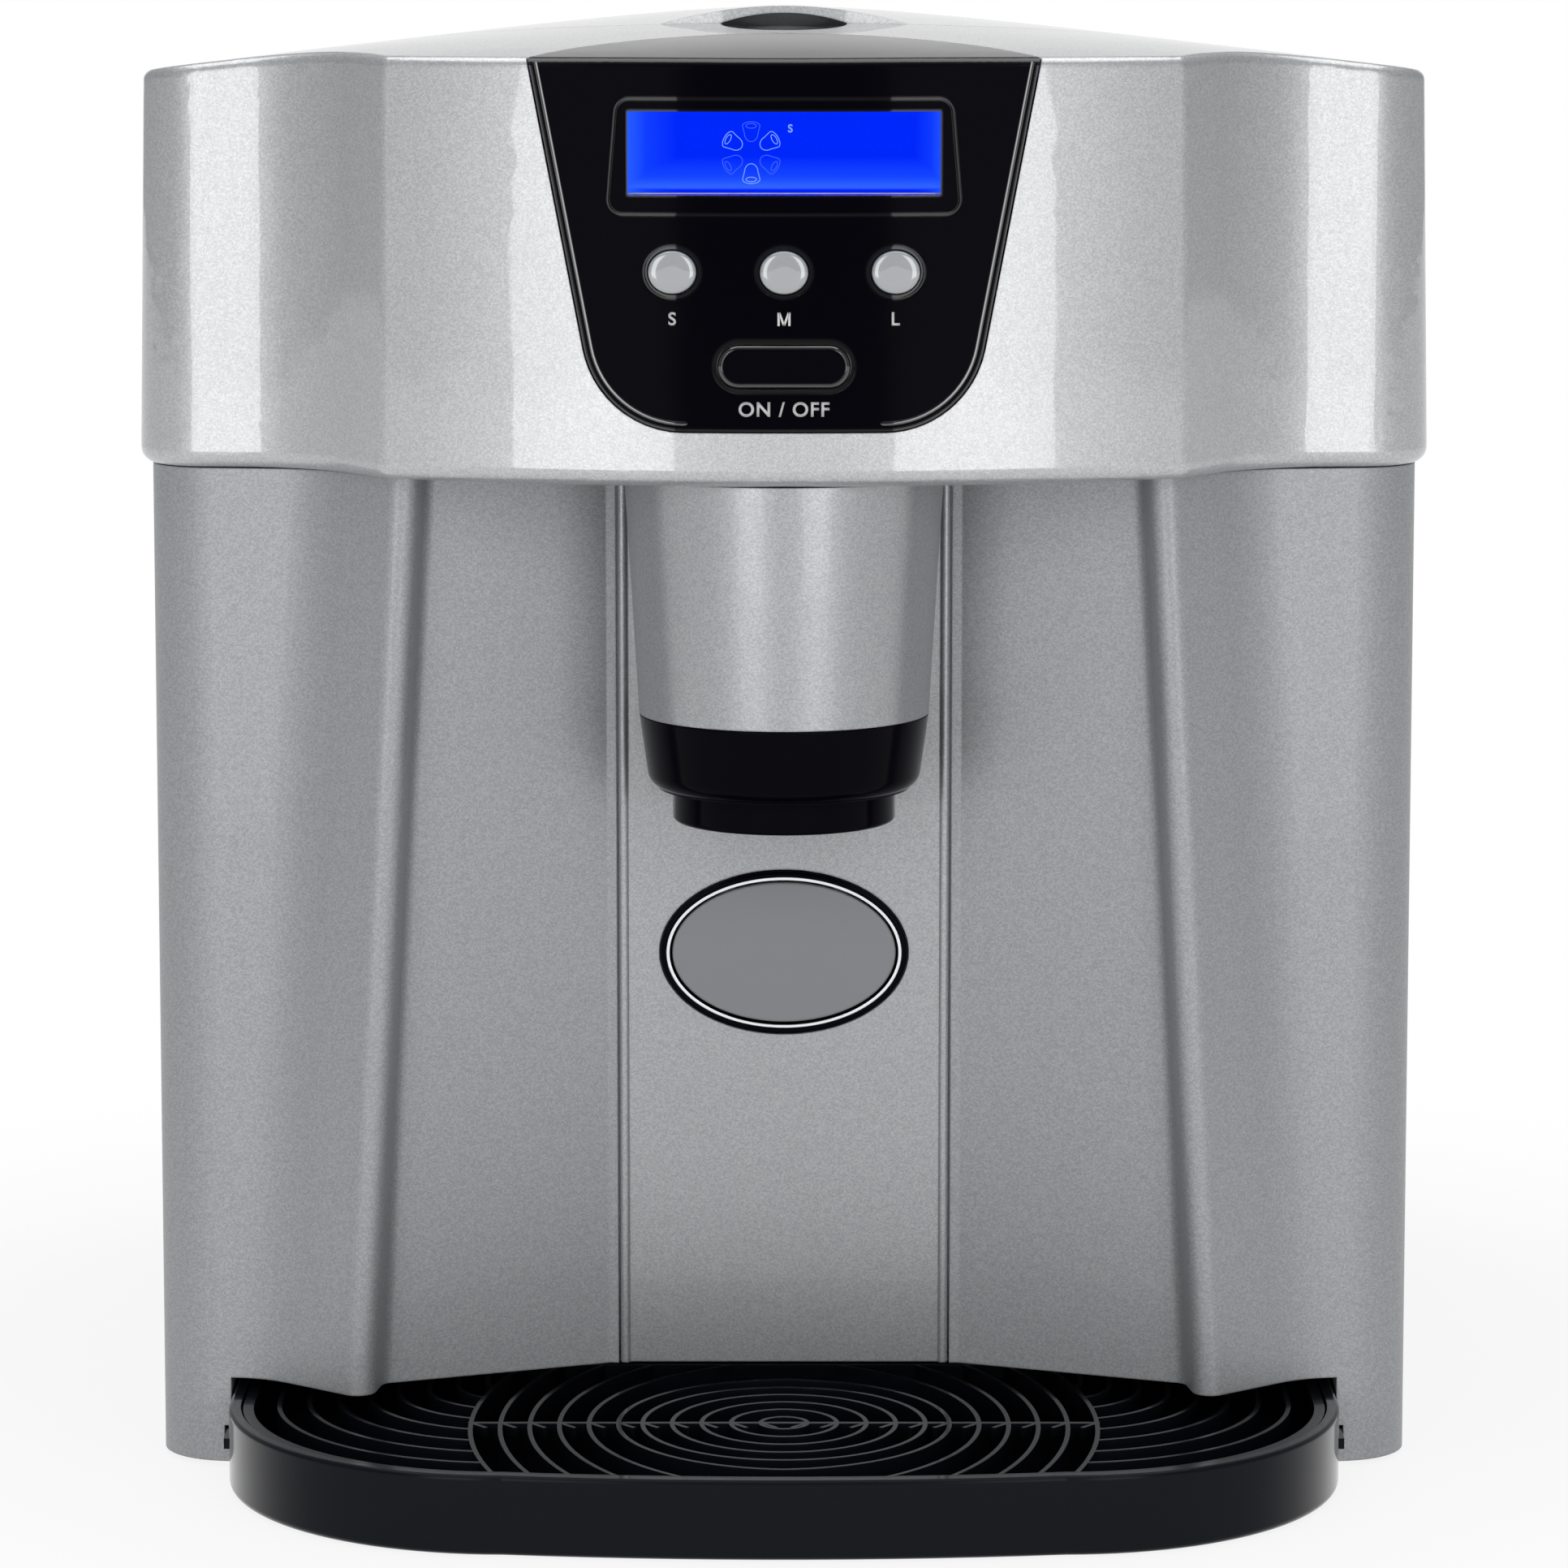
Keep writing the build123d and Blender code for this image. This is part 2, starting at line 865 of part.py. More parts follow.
def lid_lip():
    """Raised lip over the finger scoop, a shallow dome on the lid's front edge."""
    half = lid_lip_half_width
    dome_radius = (half * half + lid_lip_height * lid_lip_height) / (2 * lid_lip_height)
    top = crown_height(0, -lid_lip_front) + lid_lip_height
    with BuildPart() as lip:
        with Locations((0, -lid_lip_front, top - dome_radius)):
            Sphere(dome_radius)
        add(lid_prism(0), mode=Mode.INTERSECT)
        add(crown_block(lid_thickness / 2), mode=Mode.INTERSECT)
    return lip.part


def fascia_skin():
    """The fascia's plate, cut from the head's own outer shape."""
    with BuildPart() as skin:
        add(head_outer)
        add(head_core(fascia_thickness, head_bottom + head_floor), mode=Mode.SUBTRACT)
        add(fascia_region(0), mode=Mode.INTERSECT)
    return skin.part


def fascia_rear_flange():
    """Flange behind the head's skin that holds the fascia from inside."""
    inner = head_wall + fit_gap
    with BuildPart() as flange:
        add(head_core(inner, head_bottom + head_floor))
        add(head_core(inner + fascia_flange_thickness, head_bottom + head_floor), mode=Mode.SUBTRACT)
        add(fascia_region(fascia_flange), mode=Mode.INTERSECT)
        slab(-ridge_x, ridge_x, -head_front, 0, fascia_lens_bottom, crown_block_top, mode=Mode.SUBTRACT)
        add(fascia_region(-fascia_flange), mode=Mode.SUBTRACT)
    with BuildPart() as web:
        add(head_core(fascia_thickness / 2, head_bottom + head_floor))
        add(head_core(inner + fascia_flange_thickness, head_bottom + head_floor), mode=Mode.SUBTRACT)
        add(fascia_region(0), mode=Mode.INTERSECT)
        slab(-ridge_x, ridge_x, -head_front, 0, fascia_lens_bottom, crown_block_top, mode=Mode.SUBTRACT)
        add(fascia_region(-fascia_flange_thickness), mode=Mode.SUBTRACT)
    return flange.part + web.part


def pill(grow, front, depth, mode=Mode.ADD):
    """Long round-ended block of the power button's outline, grown by this much."""
    with BuildSketch(Plane.XZ.offset(front)) as face:
        with Locations((0, power_height)):
            tall = 2 * (power_half_height + grow)
            SlotOverall(2 * (power_half_width + grow), tall)
    extrude(face.sketch, amount=-depth, mode=mode)


def fascia_recesses():
    """Shallow recesses in the fascia: the frame round the display and the wells round the buttons."""
    with BuildPart() as recess:
        with BuildSketch(Plane.XZ.offset(head_front + overrun)) as frame:
            with BuildLine():
                Polyline(
                    (frame_half_bottom, frame_low),
                    (frame_half_top, frame_high),
                    (-frame_half_top, frame_high),
                    (-frame_half_bottom, frame_low),
                    close=True,
                )
            make_face()
            fillet(frame.vertices(), frame_corner)
        extrude(amount=-fascia_depth)
        for x in button_places:
            wide = button_half_width + button_well
            tall = button_half_height + button_well
            oval(wide, tall, x, button_height, head_front + overrun, fascia_depth)
        pill(button_well, head_front + overrun, fascia_depth)
        add(head_core(frame_recess, head_bottom + head_floor), mode=Mode.SUBTRACT)
    return recess.part


# The head's skin and what is cut from it
head_outer = head_shape()
crown = crown_block(0)
hinge_back = lid_back + hinge_reach
hinge_height = crown_height(hinge_x, hinge_back) - hinge_drop
arm_low = hinge_x - hinge_arm_half_width
arm_high = hinge_x + hinge_arm_half_width
ear_low = arm_low - fit_gap - hinge_ear
ear_high = arm_high + fit_gap + hinge_ear
ear_half = hinge_radius + hinge_knuckle

with BuildPart() as head_housing:
    add(head_outer)
    add(head_core(head_wall, head_bottom + head_floor), mode=Mode.SUBTRACT)
    add(lid_ledge_ring())
    add(scoop_cup())
    add(hinge_ears())
    add(lid_pocket(), mode=Mode.SUBTRACT)
    add(lid_prism(lid_ledge), mode=Mode.SUBTRACT)
    add(scoop(0), mode=Mode.SUBTRACT)
    notch_back = hinge_back + ear_half + slide_gap
    hinge_slab(
        arm_low - fit_gap,
        arm_high + fit_gap,
        lid_back - hinge_root - overrun,
        notch_back,
        hinge_height - ear_half - overrun,
        crown_block_top,
        mode=Mode.SUBTRACT,
    )
    for way in (1, -1):
        start = (way * ear_low, hinge_back, hinge_height)
        end = (way * ear_high, hinge_back, hinge_height)
        rod(hinge_radius, start, end, mode=Mode.SUBTRACT)
    # Way down into the body behind the bay
    with BuildSketch(Plane.XY.offset(head_bottom - overrun)):
        add(body_plan(0, column_top, body_wall + head_rim_radius))
    extrude(amount=overrun * 2 + head_floor, mode=Mode.SUBTRACT)
    add(fascia_region(fascia_gap), mode=Mode.SUBTRACT)
save(head_housing.part, "head_housing")

with BuildPart() as lid:
    add(lid_skin())
    add(lid_lip())
    arm_front = lid_back - hinge_root
    add(lid_arms(arm_front))
    hinge_slab(arm_low, arm_high, arm_front, hinge_back, hinge_height - ear_half, hinge_height)
    for way in (1, -1):
        start = (way * arm_low, hinge_back, hinge_height)
        end = (way * arm_high, hinge_back, hinge_height)
        rod(ear_half, start, end)
        rod(hinge_radius + run_gap, start, end, mode=Mode.SUBTRACT)
    add(scoop(0), mode=Mode.SUBTRACT)
save(lid.part, "lid")

with BuildPart() as lid_liner:
    add(lid_prism(liner_inset))
    add(crown_block(lid_thickness), mode=Mode.SUBTRACT)
    add(crown_block(lid_thickness + liner_thickness), mode=Mode.INTERSECT)
    hinge_slab(
        arm_low - fit_gap,
        arm_high + fit_gap,
        arm_front - fit_gap,
        hinge_back,
        hinge_height - ear_half - fit_gap,
        crown_top,
        mode=Mode.SUBTRACT,
    )
save(lid_liner.part, "lid_liner")

with BuildPart() as lid_hinge_pins:
    for way in (1, -1):
        start = (way * ear_low, hinge_back, hinge_height)
        rod(hinge_radius, start, (way * ear_high, hinge_back, hinge_height))
save(lid_hinge_pins.part, "lid_hinge_pins")

# Control fascia with the display, the buttons and the board behind it
with BuildPart() as control_fascia:
    add(fascia_skin())
    add(fascia_rear_flange())
    add(fascia_recesses(), mode=Mode.SUBTRACT)
    slab(
        -window_half_width,
        window_half_width,
        -head_front - overrun,
        -lens_front + overrun,
        window_bottom,
        window_top,
        mode=Mode.SUBTRACT,
    )
    for x in button_places:
        wide = button_half_width + button_gap
        tall = button_half_height + button_gap
        oval(wide, tall, x, button_height, head_front, fascia_depth, Mode.SUBTRACT)
    pill(button_gap, head_front, fascia_depth, Mode.SUBTRACT)
    for x, z in post_places:
        for way in (1, -1):
            start = (way * x, -face_front(x, z) + fascia_thickness / 2, z)
            rod(post_radius, start, (way * x, -board_front - fit_gap, z))
save(control_fascia.part, "control_fascia")

with BuildPart() as lcd_lens:
    half = window_half_width + lens_edge
    low = window_bottom - lens_edge
    slab(-half, half, -lens_front, -lens_front + lens_thickness, low, window_top + lens_edge)
save(lcd_lens.part, "lcd_lens")

with BuildPart() as lcd_display:
    half = window_half_width + display_edge
    front = -lens_front + lens_thickness + fit_gap
    low = window_bottom - display_edge
    slab(-half, half, front, front + display_thickness, low, window_top + display_edge)
save(lcd_display.part, "lcd_display")

with BuildPart() as control_board:
    front = -board_front
    slab(-board_half_width, board_half_width, front, front + board_thickness, board_bottom, board_top)
save(control_board.part, "control_board")

button_back = board_front + switch_height + switch_plunger + button_travel + slide_gap

for name, x in zip(button_names, button_places):
    front = face_front(x, button_height) + button_proud
    flange_front = face_front(abs(x) + button_half_width, button_height) - fascia_thickness - 2 * fit_gap
    with BuildPart() as button:
        oval(button_half_width, button_half_height, x, button_height, front, front - button_back)
        fillet(button.edges().group_by(Axis.Y)[0], button_dome)
        wide = button_half_width + button_flange
        tall = button_half_height + button_flange
        oval(wide, tall, x, button_height, flange_front, button_flange_thickness)
    save(button.part, name)

with BuildPart() as power_button:
    front = face_front(0, power_height) + button_proud
    flange_front = face_front(power_half_width, power_height) - fascia_thickness - 2 * fit_gap
    pill(0, front, front - button_back)
    fillet(power_button.edges().group_by(Axis.Y)[0], button_dome)
    pill(button_flange, flange_front, button_flange_thickness)
save(power_button.part, "power_button")

with BuildPart() as button_switches:
    half = switch_size / 2
    for x, z in [(x, button_height) for x in button_places] + [(0, power_height)]:
        slab(x - half, x + half, -board_front - switch_height, -board_front, z - half, z + half)
        start = (x, -board_front - switch_height, z)
        rod(switch_plunger, start, (x, -board_front - switch_height - switch_plunger, z))
save(button_switches.part, "button_switches")


def mirrored_slab(x0, x1, y0, y1, z0, z1, mode=Mode.ADD):
    """Box on the right and its mirror image on the left."""
    for low, high in ((x0, x1), (-x1, -x0)):
        slab(low, high, y0, y1, z0, z1, mode=mode)


def bridge(height, top_height, half_width, top_half_width, front, back):
    """Ruled block between a rectangle at one height and a wider one above it, along Y."""
    with BuildPart() as block:
        for level, half in ((height, half_width), (top_height, top_half_width)):
            with BuildSketch(Plane.XY.offset(level)):
                with Locations((0, (back - front) / 2)):
                    Rectangle(2 * half, back + front)
        loft(ruled=True)
    return block.part


def tray_block(low, high, inset):
    """Upright block over the drip tray's outline between two heights."""
    with BuildPart() as block:
        extrude(tray_plan(low, inset), amount=high - low)
    return block.part


# Lower body
pocket_half = tray_half_width + pocket_gap
pocket_back = tray_back - pocket_gap - tray_runner
runner_low = tray_bottom + tray_runner_rise
runner_high = runner_low + tray_runner_height
runner_room = tray_half_width + tray_runner + pocket_gap
body_top = head_bottom - fit_gap
body_inner_back = body_back - body_wall

with BuildPart() as pocket_walls:
    high = pocket_top + pocket_wall
    reach = pocket_half + pocket_wall
    slab(-reach, reach, -tray_front, -pocket_back + pocket_wall, body_bottom, high)
    reach = runner_room + pocket_wall
    low = runner_low - slide_gap - pocket_wall
    high = runner_high + slide_gap + pocket_wall
    slab(-reach, reach, -tray_front, -pocket_back + pocket_wall, low, high)
    add(body_block(body_wall / 2), mode=Mode.INTERSECT)

with BuildPart() as body_housing:
    add(body_block(0))
    add(body_block(body_wall), mode=Mode.SUBTRACT)
    add(pocket_walls.part)
    front = -tray_front - overrun
    low = body_bottom - overrun
    slab(-pocket_half, pocket_half, front, -pocket_back, low, pocket_top, mode=Mode.SUBTRACT)
    low = runner_low - slide_gap
    slab(-runner_room, runner_room, front, -pocket_back, low, runner_high + slide_gap, mode=Mode.SUBTRACT)
    # Opening for the bay's middle panel
    half = panel_half_width + 2 * fit_gap
    back = -bay_front + body_wall + fit_gap
    low = pocket_top - overrun
    slab(-half, half, -bay_front - overrun, back, low, body_top + overrun, mode=Mode.SUBTRACT)
    # Rear opening, the drain's recess and the holes for the rear screws
    with BuildSketch(Plane.XZ.offset(-body_back - overrun)) as rear_face:
        with Locations((0, (rear_opening_bottom + rear_opening_top) / 2)):
            tall = rear_opening_top - rear_opening_bottom
            RectangleRounded(2 * rear_opening_half, tall, rear_corner)
        with Locations((drain_x, drain_height)):
            Circle(recess_radius + recess_wall + fit_gap)
        with Locations([(way * screw_x, z) for way in (1, -1) for z in screw_heights]):
            Circle(screw_radius + fit_gap)
    extrude(amount=body_wall + 2 * overrun, mode=Mode.SUBTRACT)
    # Louvres in both sides
    for row in range(side_louvre_count):
        middle = side_louvre_bottom + row * side_louvre_pitch + side_louvre_height / 2
        with BuildSketch(Plane.YZ.offset(-body_half_width - overrun)):
            with Locations(((side_louvre_front + side_louvre_back) / 2, middle)):
                SlotOverall(side_louvre_back - side_louvre_front, side_louvre_height)
        extrude(amount=body_wall + 2 * overrun, mode=Mode.SUBTRACT)
        with BuildSketch(Plane.YZ.offset(body_half_width - body_wall - overrun)):
            with Locations(((side_louvre_front + side_louvre_back) / 2, middle)):
                SlotOverall(side_louvre_back - side_louvre_front, side_louvre_height)
        extrude(amount=body_wall + 2 * overrun, mode=Mode.SUBTRACT)
save(body_housing.part, "body_housing")

panel_front = bay_front + panel_stand
panel_back = panel_front - panel_thickness

with BuildPart() as bay_panel:
    slab(-panel_half_width, panel_half_width, -panel_front, -panel_back, panel_bottom, body_top)
    for way in (1, -1):
        edge = way * (panel_half_width - panel_bead)
        rod(panel_bead, (edge, -panel_front, panel_bottom), (edge, -panel_front, body_top))
    front = bay_front - body_wall - fit_gap
    low = pocket_top + pocket_wall + fit_gap
    half = panel_half_width + panel_flange
    slab(-half, half, -front, -front + panel_flange_thickness, low, body_top)
    inner = panel_half_width - panel_thickness
    back = -front + panel_flange_thickness + overrun
    slab(-inner, inner, -panel_back, back, low, body_top + overrun, mode=Mode.SUBTRACT)
    mirrored_slab(inner, panel_half_width, -panel_back, -front, low, body_top)
    start = (0, -panel_front - overrun, auger_height)
    end = (0, -panel_back + overrun, auger_height)
    rod(trough_radius + chute_wall + 2 * fit_gap, start, end, mode=Mode.SUBTRACT)
    wide = paddle_half_width + fit_gap
    tall = paddle_half_height + fit_gap
    deep = panel_thickness + 2 * overrun
    oval(wide, tall, 0, paddle_height, panel_front + overrun, deep, Mode.SUBTRACT)
save(bay_panel.part, "bay_panel")

rear_face_y = body_back + fit_gap

with BuildPart() as rear_panel:
    with BuildSketch(Plane.XZ.offset(-rear_face_y)) as rear_sheet:
        with Locations((0, (rear_bottom + rear_top) / 2)):
            RectangleRounded(2 * rear_half_width, rear_top - rear_bottom, rear_corner)
        for way in (1, -1):
            for row in range(louvre_count):
                with Locations((way * louvre_x, louvre_bottom + row * louvre_pitch)):
                    SlotOverall(louvre_width, louvre_height, mode=Mode.SUBTRACT)
        with Locations((inlet_x, inlet_height)):
            Rectangle(inlet_width + 2 * fit_gap, inlet_tall + 2 * fit_gap, mode=Mode.SUBTRACT)
        with Locations((drain_x, drain_height)):
            Circle(recess_radius, mode=Mode.SUBTRACT)
    extrude(amount=-rear_plate)
    # Recess for the drain
    start = (drain_x, rear_face_y - recess_depth, drain_height)
    end = (drain_x, rear_face_y + rear_plate, drain_height)
    rod(recess_radius + recess_wall, start, end)
    inner = (drain_x, rear_face_y - recess_depth + recess_wall, drain_height)
    outer = (drain_x, rear_face_y + rear_plate + overrun, drain_height)
    rod(recess_radius, inner, outer, mode=Mode.SUBTRACT)
    through = (drain_x, rear_face_y - recess_depth - overrun, drain_height)
    rod(drain_radius + fit_gap, through, inner, mode=Mode.SUBTRACT)
    # Countersunk holes
    for way in (1, -1):
        for z in screw_heights:
            with Locations(Plane(origin=(way * screw_x, rear_face_y + rear_plate, z), z_dir=(0, 1, 0))):
                CounterSinkHole(screw_radius + fit_gap, screw_head + fit_gap)
save(rear_panel.part, "rear_panel")

with BuildPart() as rear_screws:
    for way in (1, -1):
        for z in screw_heights:
            top = rear_face_y + rear_plate - fit_gap / 2
            with Locations(Plane(origin=(way * screw_x, top, z), z_dir=(0, -1, 0))):
                low = (Align.CENTER, Align.CENTER, Align.MIN)
                Cone(screw_head, screw_radius, screw_head - screw_radius, align=low)
                Cylinder(screw_radius, screw_length, align=low)
                Box(2 * screw_head, screw_slot, 2 * screw_slot_depth, mode=Mode.SUBTRACT)
                Box(screw_slot, 2 * screw_head, 2 * screw_slot_depth, mode=Mode.SUBTRACT)
save(rear_screws.part, "rear_screws")

with BuildPart() as base_pan:
    slab(-pan_half_width, pan_half_width, -pan_front, pan_back, pan_bottom, pan_wall_height)
    fillet(base_pan.edges().filter_by(Axis.Z).sort_by(Axis.Y)[-2:], pan_corner)
    slab(
        pan_wall - pan_half_width,
        pan_half_width - pan_wall,
        pan_wall - pan_front,
        pan_back - pan_wall,
        pan_bottom + pan_plate,
        pan_wall_height + overrun,
        mode=Mode.SUBTRACT,
    )
    low = pan_bottom + pan_plate
    high = pan_wall_height + overrun
    front = pan_back - 2 * pan_wall
    slab(-pan_notch, pan_notch, front, pan_back + overrun, low, high, mode=Mode.SUBTRACT)
    for way in (1, -1):
        for y in (-foot_front, foot_back):
            place = (way * foot_x, y, pan_bottom - overrun)
            end = (way * foot_x, y, pan_wall_height)
            rod(foot_stem + run_gap, place, end, mode=Mode.SUBTRACT)
save(base_pan.part, "base_pan")

with BuildPart() as feet:
    pad_top = pan_bottom - fit_gap / 2
    for way in (1, -1):
        for y in (-foot_front, foot_back):
            rod(foot_radius, (way * foot_x, y, 0), (way * foot_x, y, pad_top))
            rod(foot_stem, (way * foot_x, y, 0), (way * foot_x, y, pad_top + foot_stem_height))
save(feet.part, "feet")


# Spout over the bay, with the chute and the gate inside it
def spout_wall_block(inset):
    """The spout cover's tapered drum as a solid, drawn in by inset."""
    with BuildPart() as drum:
        with BuildSketch(Plane.XY.offset(spout_bottom)):
            with Locations((0, -spout_front)):
                Circle(spout_radius - inset)
        with BuildSketch(Plane.XY.offset(body_top)):
            with Locations((0, -spout_top_front)):
                Circle(spout_top_radius - inset)
        loft(ruled=True)
    return drum.part


def drum(radius, low, high, mode=Mode.ADD):
    """Upright cylinder on the spout's axis."""
    rod(radius, (0, -spout_front, low), (0, -spout_front, high), mode=mode)


def cone(low_radius, high_radius, low, high, mode=Mode.ADD):
    """Upright cone on the spout's axis."""
    with Locations((0, -spout_front, (low + high) / 2)):
        Cone(low_radius, high_radius, high - low, mode=mode)


spout_back = panel_front + fit_gap

with BuildPart() as spout_cover:
    add(spout_wall_block(0))
    add(spout_wall_block(spout_wall), mode=Mode.SUBTRACT)
    half = 2 * spout_radius
    slab(-half, half, -spout_back, half, spout_bottom - overrun, body_top + overrun, mode=Mode.SUBTRACT)
save(spout_cover.part, "spout_cover")

with BuildPart() as spout_nozzle:
    high = spout_bottom - fit_gap
    cone(nozzle_radius, spout_radius, nozzle_shoulder, high)
    fillet(spout_nozzle.edges().group_by(Axis.Z)[0], nozzle_shoulder_radius)
    low = nozzle_shoulder + spout_wall
    cone(nozzle_radius - spout_wall, spout_radius - spout_wall, low, high, mode=Mode.SUBTRACT)
    inner = spout_radius - spout_wall
    drum(inner - fit_gap, high - nozzle_spigot, high + nozzle_spigot)
    bore = inner - fit_gap - spout_wall
    drum(bore, high - nozzle_spigot - overrun, high + nozzle_spigot + overrun, mode=Mode.SUBTRACT)
    drum(nozzle_radius - spout_wall, nozzle_shoulder, nozzle_shoulder + spout_wall)
    drum(nozzle_ring_radius, nozzle_bottom, high)
    fillet(spout_nozzle.edges().group_by(Axis.Z)[0], panel_bead)
    drum(nozzle_bore, nozzle_bottom - overrun, high + overrun, mode=Mode.SUBTRACT)
    half = 2 * spout_radius
    slab(-half, half, -spout_back, half, nozzle_bottom - overrun, body_top, mode=Mode.SUBTRACT)
save(spout_nozzle.part, "spout_nozzle")

chute_back = spout_back + chute_wall

with BuildPart() as chute_hollow:
    outer = chute_radius + chute_wall
    drum(chute_radius, spout_bottom - overrun, chute_top - chute_wall)
    slab(-outer, outer, -chute_back - slide_gap, spout_front, 0, chute_top, mode=Mode.SUBTRACT)

with BuildPart() as ice_chute:
    drum(outer, spout_bottom, chute_top)
    back = -chute_back + chute_wall - slide_gap
    slab(-outer, outer, back, spout_front, spout_bottom, chute_top, mode=Mode.SUBTRACT)
    start = (0, -spout_front, auger_height)
    end = (0, -bin_front - fit_gap, auger_height)
    rod(trough_radius + chute_wall, start, end)
    add(chute_hollow.part, mode=Mode.SUBTRACT)
    rod(trough_radius, start, (0, overrun - bin_front, auger_height), mode=Mode.SUBTRACT)
    reach = chute_radius
    start = (-reach, -gate_front, gate_hinge_height)
    rod(gate_pin_radius, start, (reach, -gate_front, gate_hinge_height), mode=Mode.SUBTRACT)
save(ice_chute.part, "ice_chute")

with BuildPart() as gate_pin:
    drum(chute_radius + chute_wall - fit_gap, spout_bottom, chute_top)
    start = (-chute_radius, -gate_front, gate_hinge_height)
    rod(gate_pin_radius, start, (chute_radius, -gate_front, gate_hinge_height), mode=Mode.INTERSECT)
save(gate_pin.part, "gate_pin")

with BuildPart() as ice_gate:
    back = chute_back + fit_gap + slide_gap
    rod(gate_radius, (0, -back - gate_thickness, auger_height), (0, -back, auger_height))
    half = gate_strap / 2
    slab(-half, half, -back - gate_thickness, -back, auger_height, gate_hinge_height)
    knuckle = gate_pin_radius + gate_knuckle
    start = (-half, -gate_front, gate_hinge_height)
    end = (half, -gate_front, gate_hinge_height)
    rod(knuckle, start, end)
    rod(gate_pin_radius + run_gap, start, end, mode=Mode.SUBTRACT)
    slab(-half, half, -back, 0, auger_height, gate_hinge_height + 2 * knuckle, mode=Mode.SUBTRACT)
save(ice_gate.part, "ice_gate")

# Paddle that calls for ice
bezel_inner_width = paddle_half_width - bezel_width
bezel_inner_height = paddle_half_height - bezel_width
trim_inner_width = bezel_inner_width - trim_width
trim_inner_height = bezel_inner_height - trim_width
paddle_face = panel_back + paddle_thickness + fit_gap + fit_gap

with BuildPart() as paddle_bezel:
    front = panel_front + bezel_proud
    oval(paddle_half_width, paddle_half_height, 0, paddle_height, front, front - panel_back)
    fillet(paddle_bezel.edges().group_by(Axis.Y)[0], bezel_width / 2)
    wide, tall = bezel_inner_width, bezel_inner_height
    oval(wide, tall, 0, paddle_height, front + overrun, panel_thickness + 3 * overrun, Mode.SUBTRACT)
save(paddle_bezel.part, "paddle_bezel")

with BuildPart() as paddle_trim:
    front = panel_front + trim_proud
    oval(bezel_inner_width, bezel_inner_height, 0, paddle_height, front, panel_thickness)
    wide, tall = trim_inner_width, trim_inner_height
    oval(wide, tall, 0, paddle_height, front + overrun, panel_thickness + 2 * overrun, Mode.SUBTRACT)
save(paddle_trim.part, "paddle_trim")

with BuildPart() as paddle:
    wide = trim_inner_width - paddle_gap
    tall = trim_inner_height - paddle_gap
    oval(wide, tall, 0, paddle_height, paddle_face, paddle_thickness)
    fillet(paddle.edges().group_by(Axis.Y)[0], paddle_edge)
    for way in (1, -1):
        low, high = sorted((way * paddle_arm_x, way * (paddle_arm_x + paddle_arm)))
        knuckle = paddle_pin_radius + paddle_knuckle
        back = paddle_pin_front - paddle_arm / 2
        slab(low, high, -back - paddle_arm, -back, paddle_arm_bottom, paddle_pin_height)
        foot = paddle_arm_bottom + paddle_arm
        slab(low, high, paddle_thickness / 2 - paddle_face, -back, paddle_arm_bottom, foot)
        start = (low, -paddle_pin_front, paddle_pin_height)
        end = (high, -paddle_pin_front, paddle_pin_height)
        rod(knuckle, start, end)
        top = paddle_pin_height + knuckle
        back = -panel_back + fit_gap
        slab(low, high, -paddle_face, back, paddle_height + tall, top, mode=Mode.SUBTRACT)
        rod(paddle_pin_radius + run_gap, start, end, mode=Mode.SUBTRACT)
save(paddle.part, "paddle")

with BuildPart() as paddle_pin:
    start = (-housing_half_width, -paddle_pin_front, paddle_pin_height)
    rod(paddle_pin_radius, start, (housing_half_width, -paddle_pin_front, paddle_pin_height))
save(paddle_pin.part, "paddle_pin")

with BuildPart() as paddle_bracket:
    front = panel_back - fit_gap
    back = front - housing_depth
    half = housing_half_width
    slab(-half, half, -front, -back, housing_bottom, housing_top)
    fillet(paddle_bracket.edges().filter_by(Axis.Y), housing_wall)
    inner = half - housing_wall
    low = housing_bottom + housing_wall
    high = housing_top - housing_wall
    slab(-inner, inner, -front - overrun, -back - housing_wall, low, high, mode=Mode.SUBTRACT)
    start = (-half - overrun, -paddle_pin_front, paddle_pin_height)
    end = (half + overrun, -paddle_pin_front, paddle_pin_height)
    rod(paddle_pin_radius, start, end, mode=Mode.SUBTRACT)
save(paddle_bracket.part, "paddle_bracket")


def coil(pitch, turns, radius, wire):
    """Round wire wound into a coil that rises along Z from the origin."""
    with BuildPart() as spring:
        with BuildLine() as path:
            Helix(pitch=pitch, height=pitch * turns, radius=radius)
        with BuildSketch(Plane(origin=path.line @ 0, z_dir=path.line % 0)):
            Circle(wire)
        sweep(path=path.line, is_frenet=True)
    return spring.part


with BuildPart() as paddle_spring:
    long = spring_pitch * spring_turns
    wound = coil(spring_pitch, spring_turns, spring_radius, spring_wire)
    add(Pos(-long / 2, -paddle_pin_front, paddle_pin_height) * Rot(0, 90, 0) * wound)
    for x in (-long / 2, long / 2):
        start = (x, -spring_wire - paddle_pin_front, paddle_pin_height - spring_radius)
        back = (x, spring_leg - paddle_pin_front, paddle_pin_height - spring_radius)
        rod(spring_wire, start, back)
save(paddle_spring.part, "paddle_spring")

with BuildPart() as paddle_switch:
    back = front - housing_depth + housing_wall
    high = switch_bottom + switch_tall
    slab(switch_x, switch_x + switch_width, -switch_front, -back, switch_bottom, high)
    place = (switch_x + switch_width / 2, -switch_front, switch_bottom + switch_tall / 2)
    tip = (switch_x + switch_width / 2, -switch_front - fit_gap, switch_bottom + switch_tall / 2)
    rod(switch_plunger, place, tip)
save(paddle_switch.part, "paddle_switch")

# Drip tray and its grille
tray_top = tray_bottom + tray_height
grille_top = tray_top - grille_drop
grille_inset = tray_lip + grille_gap

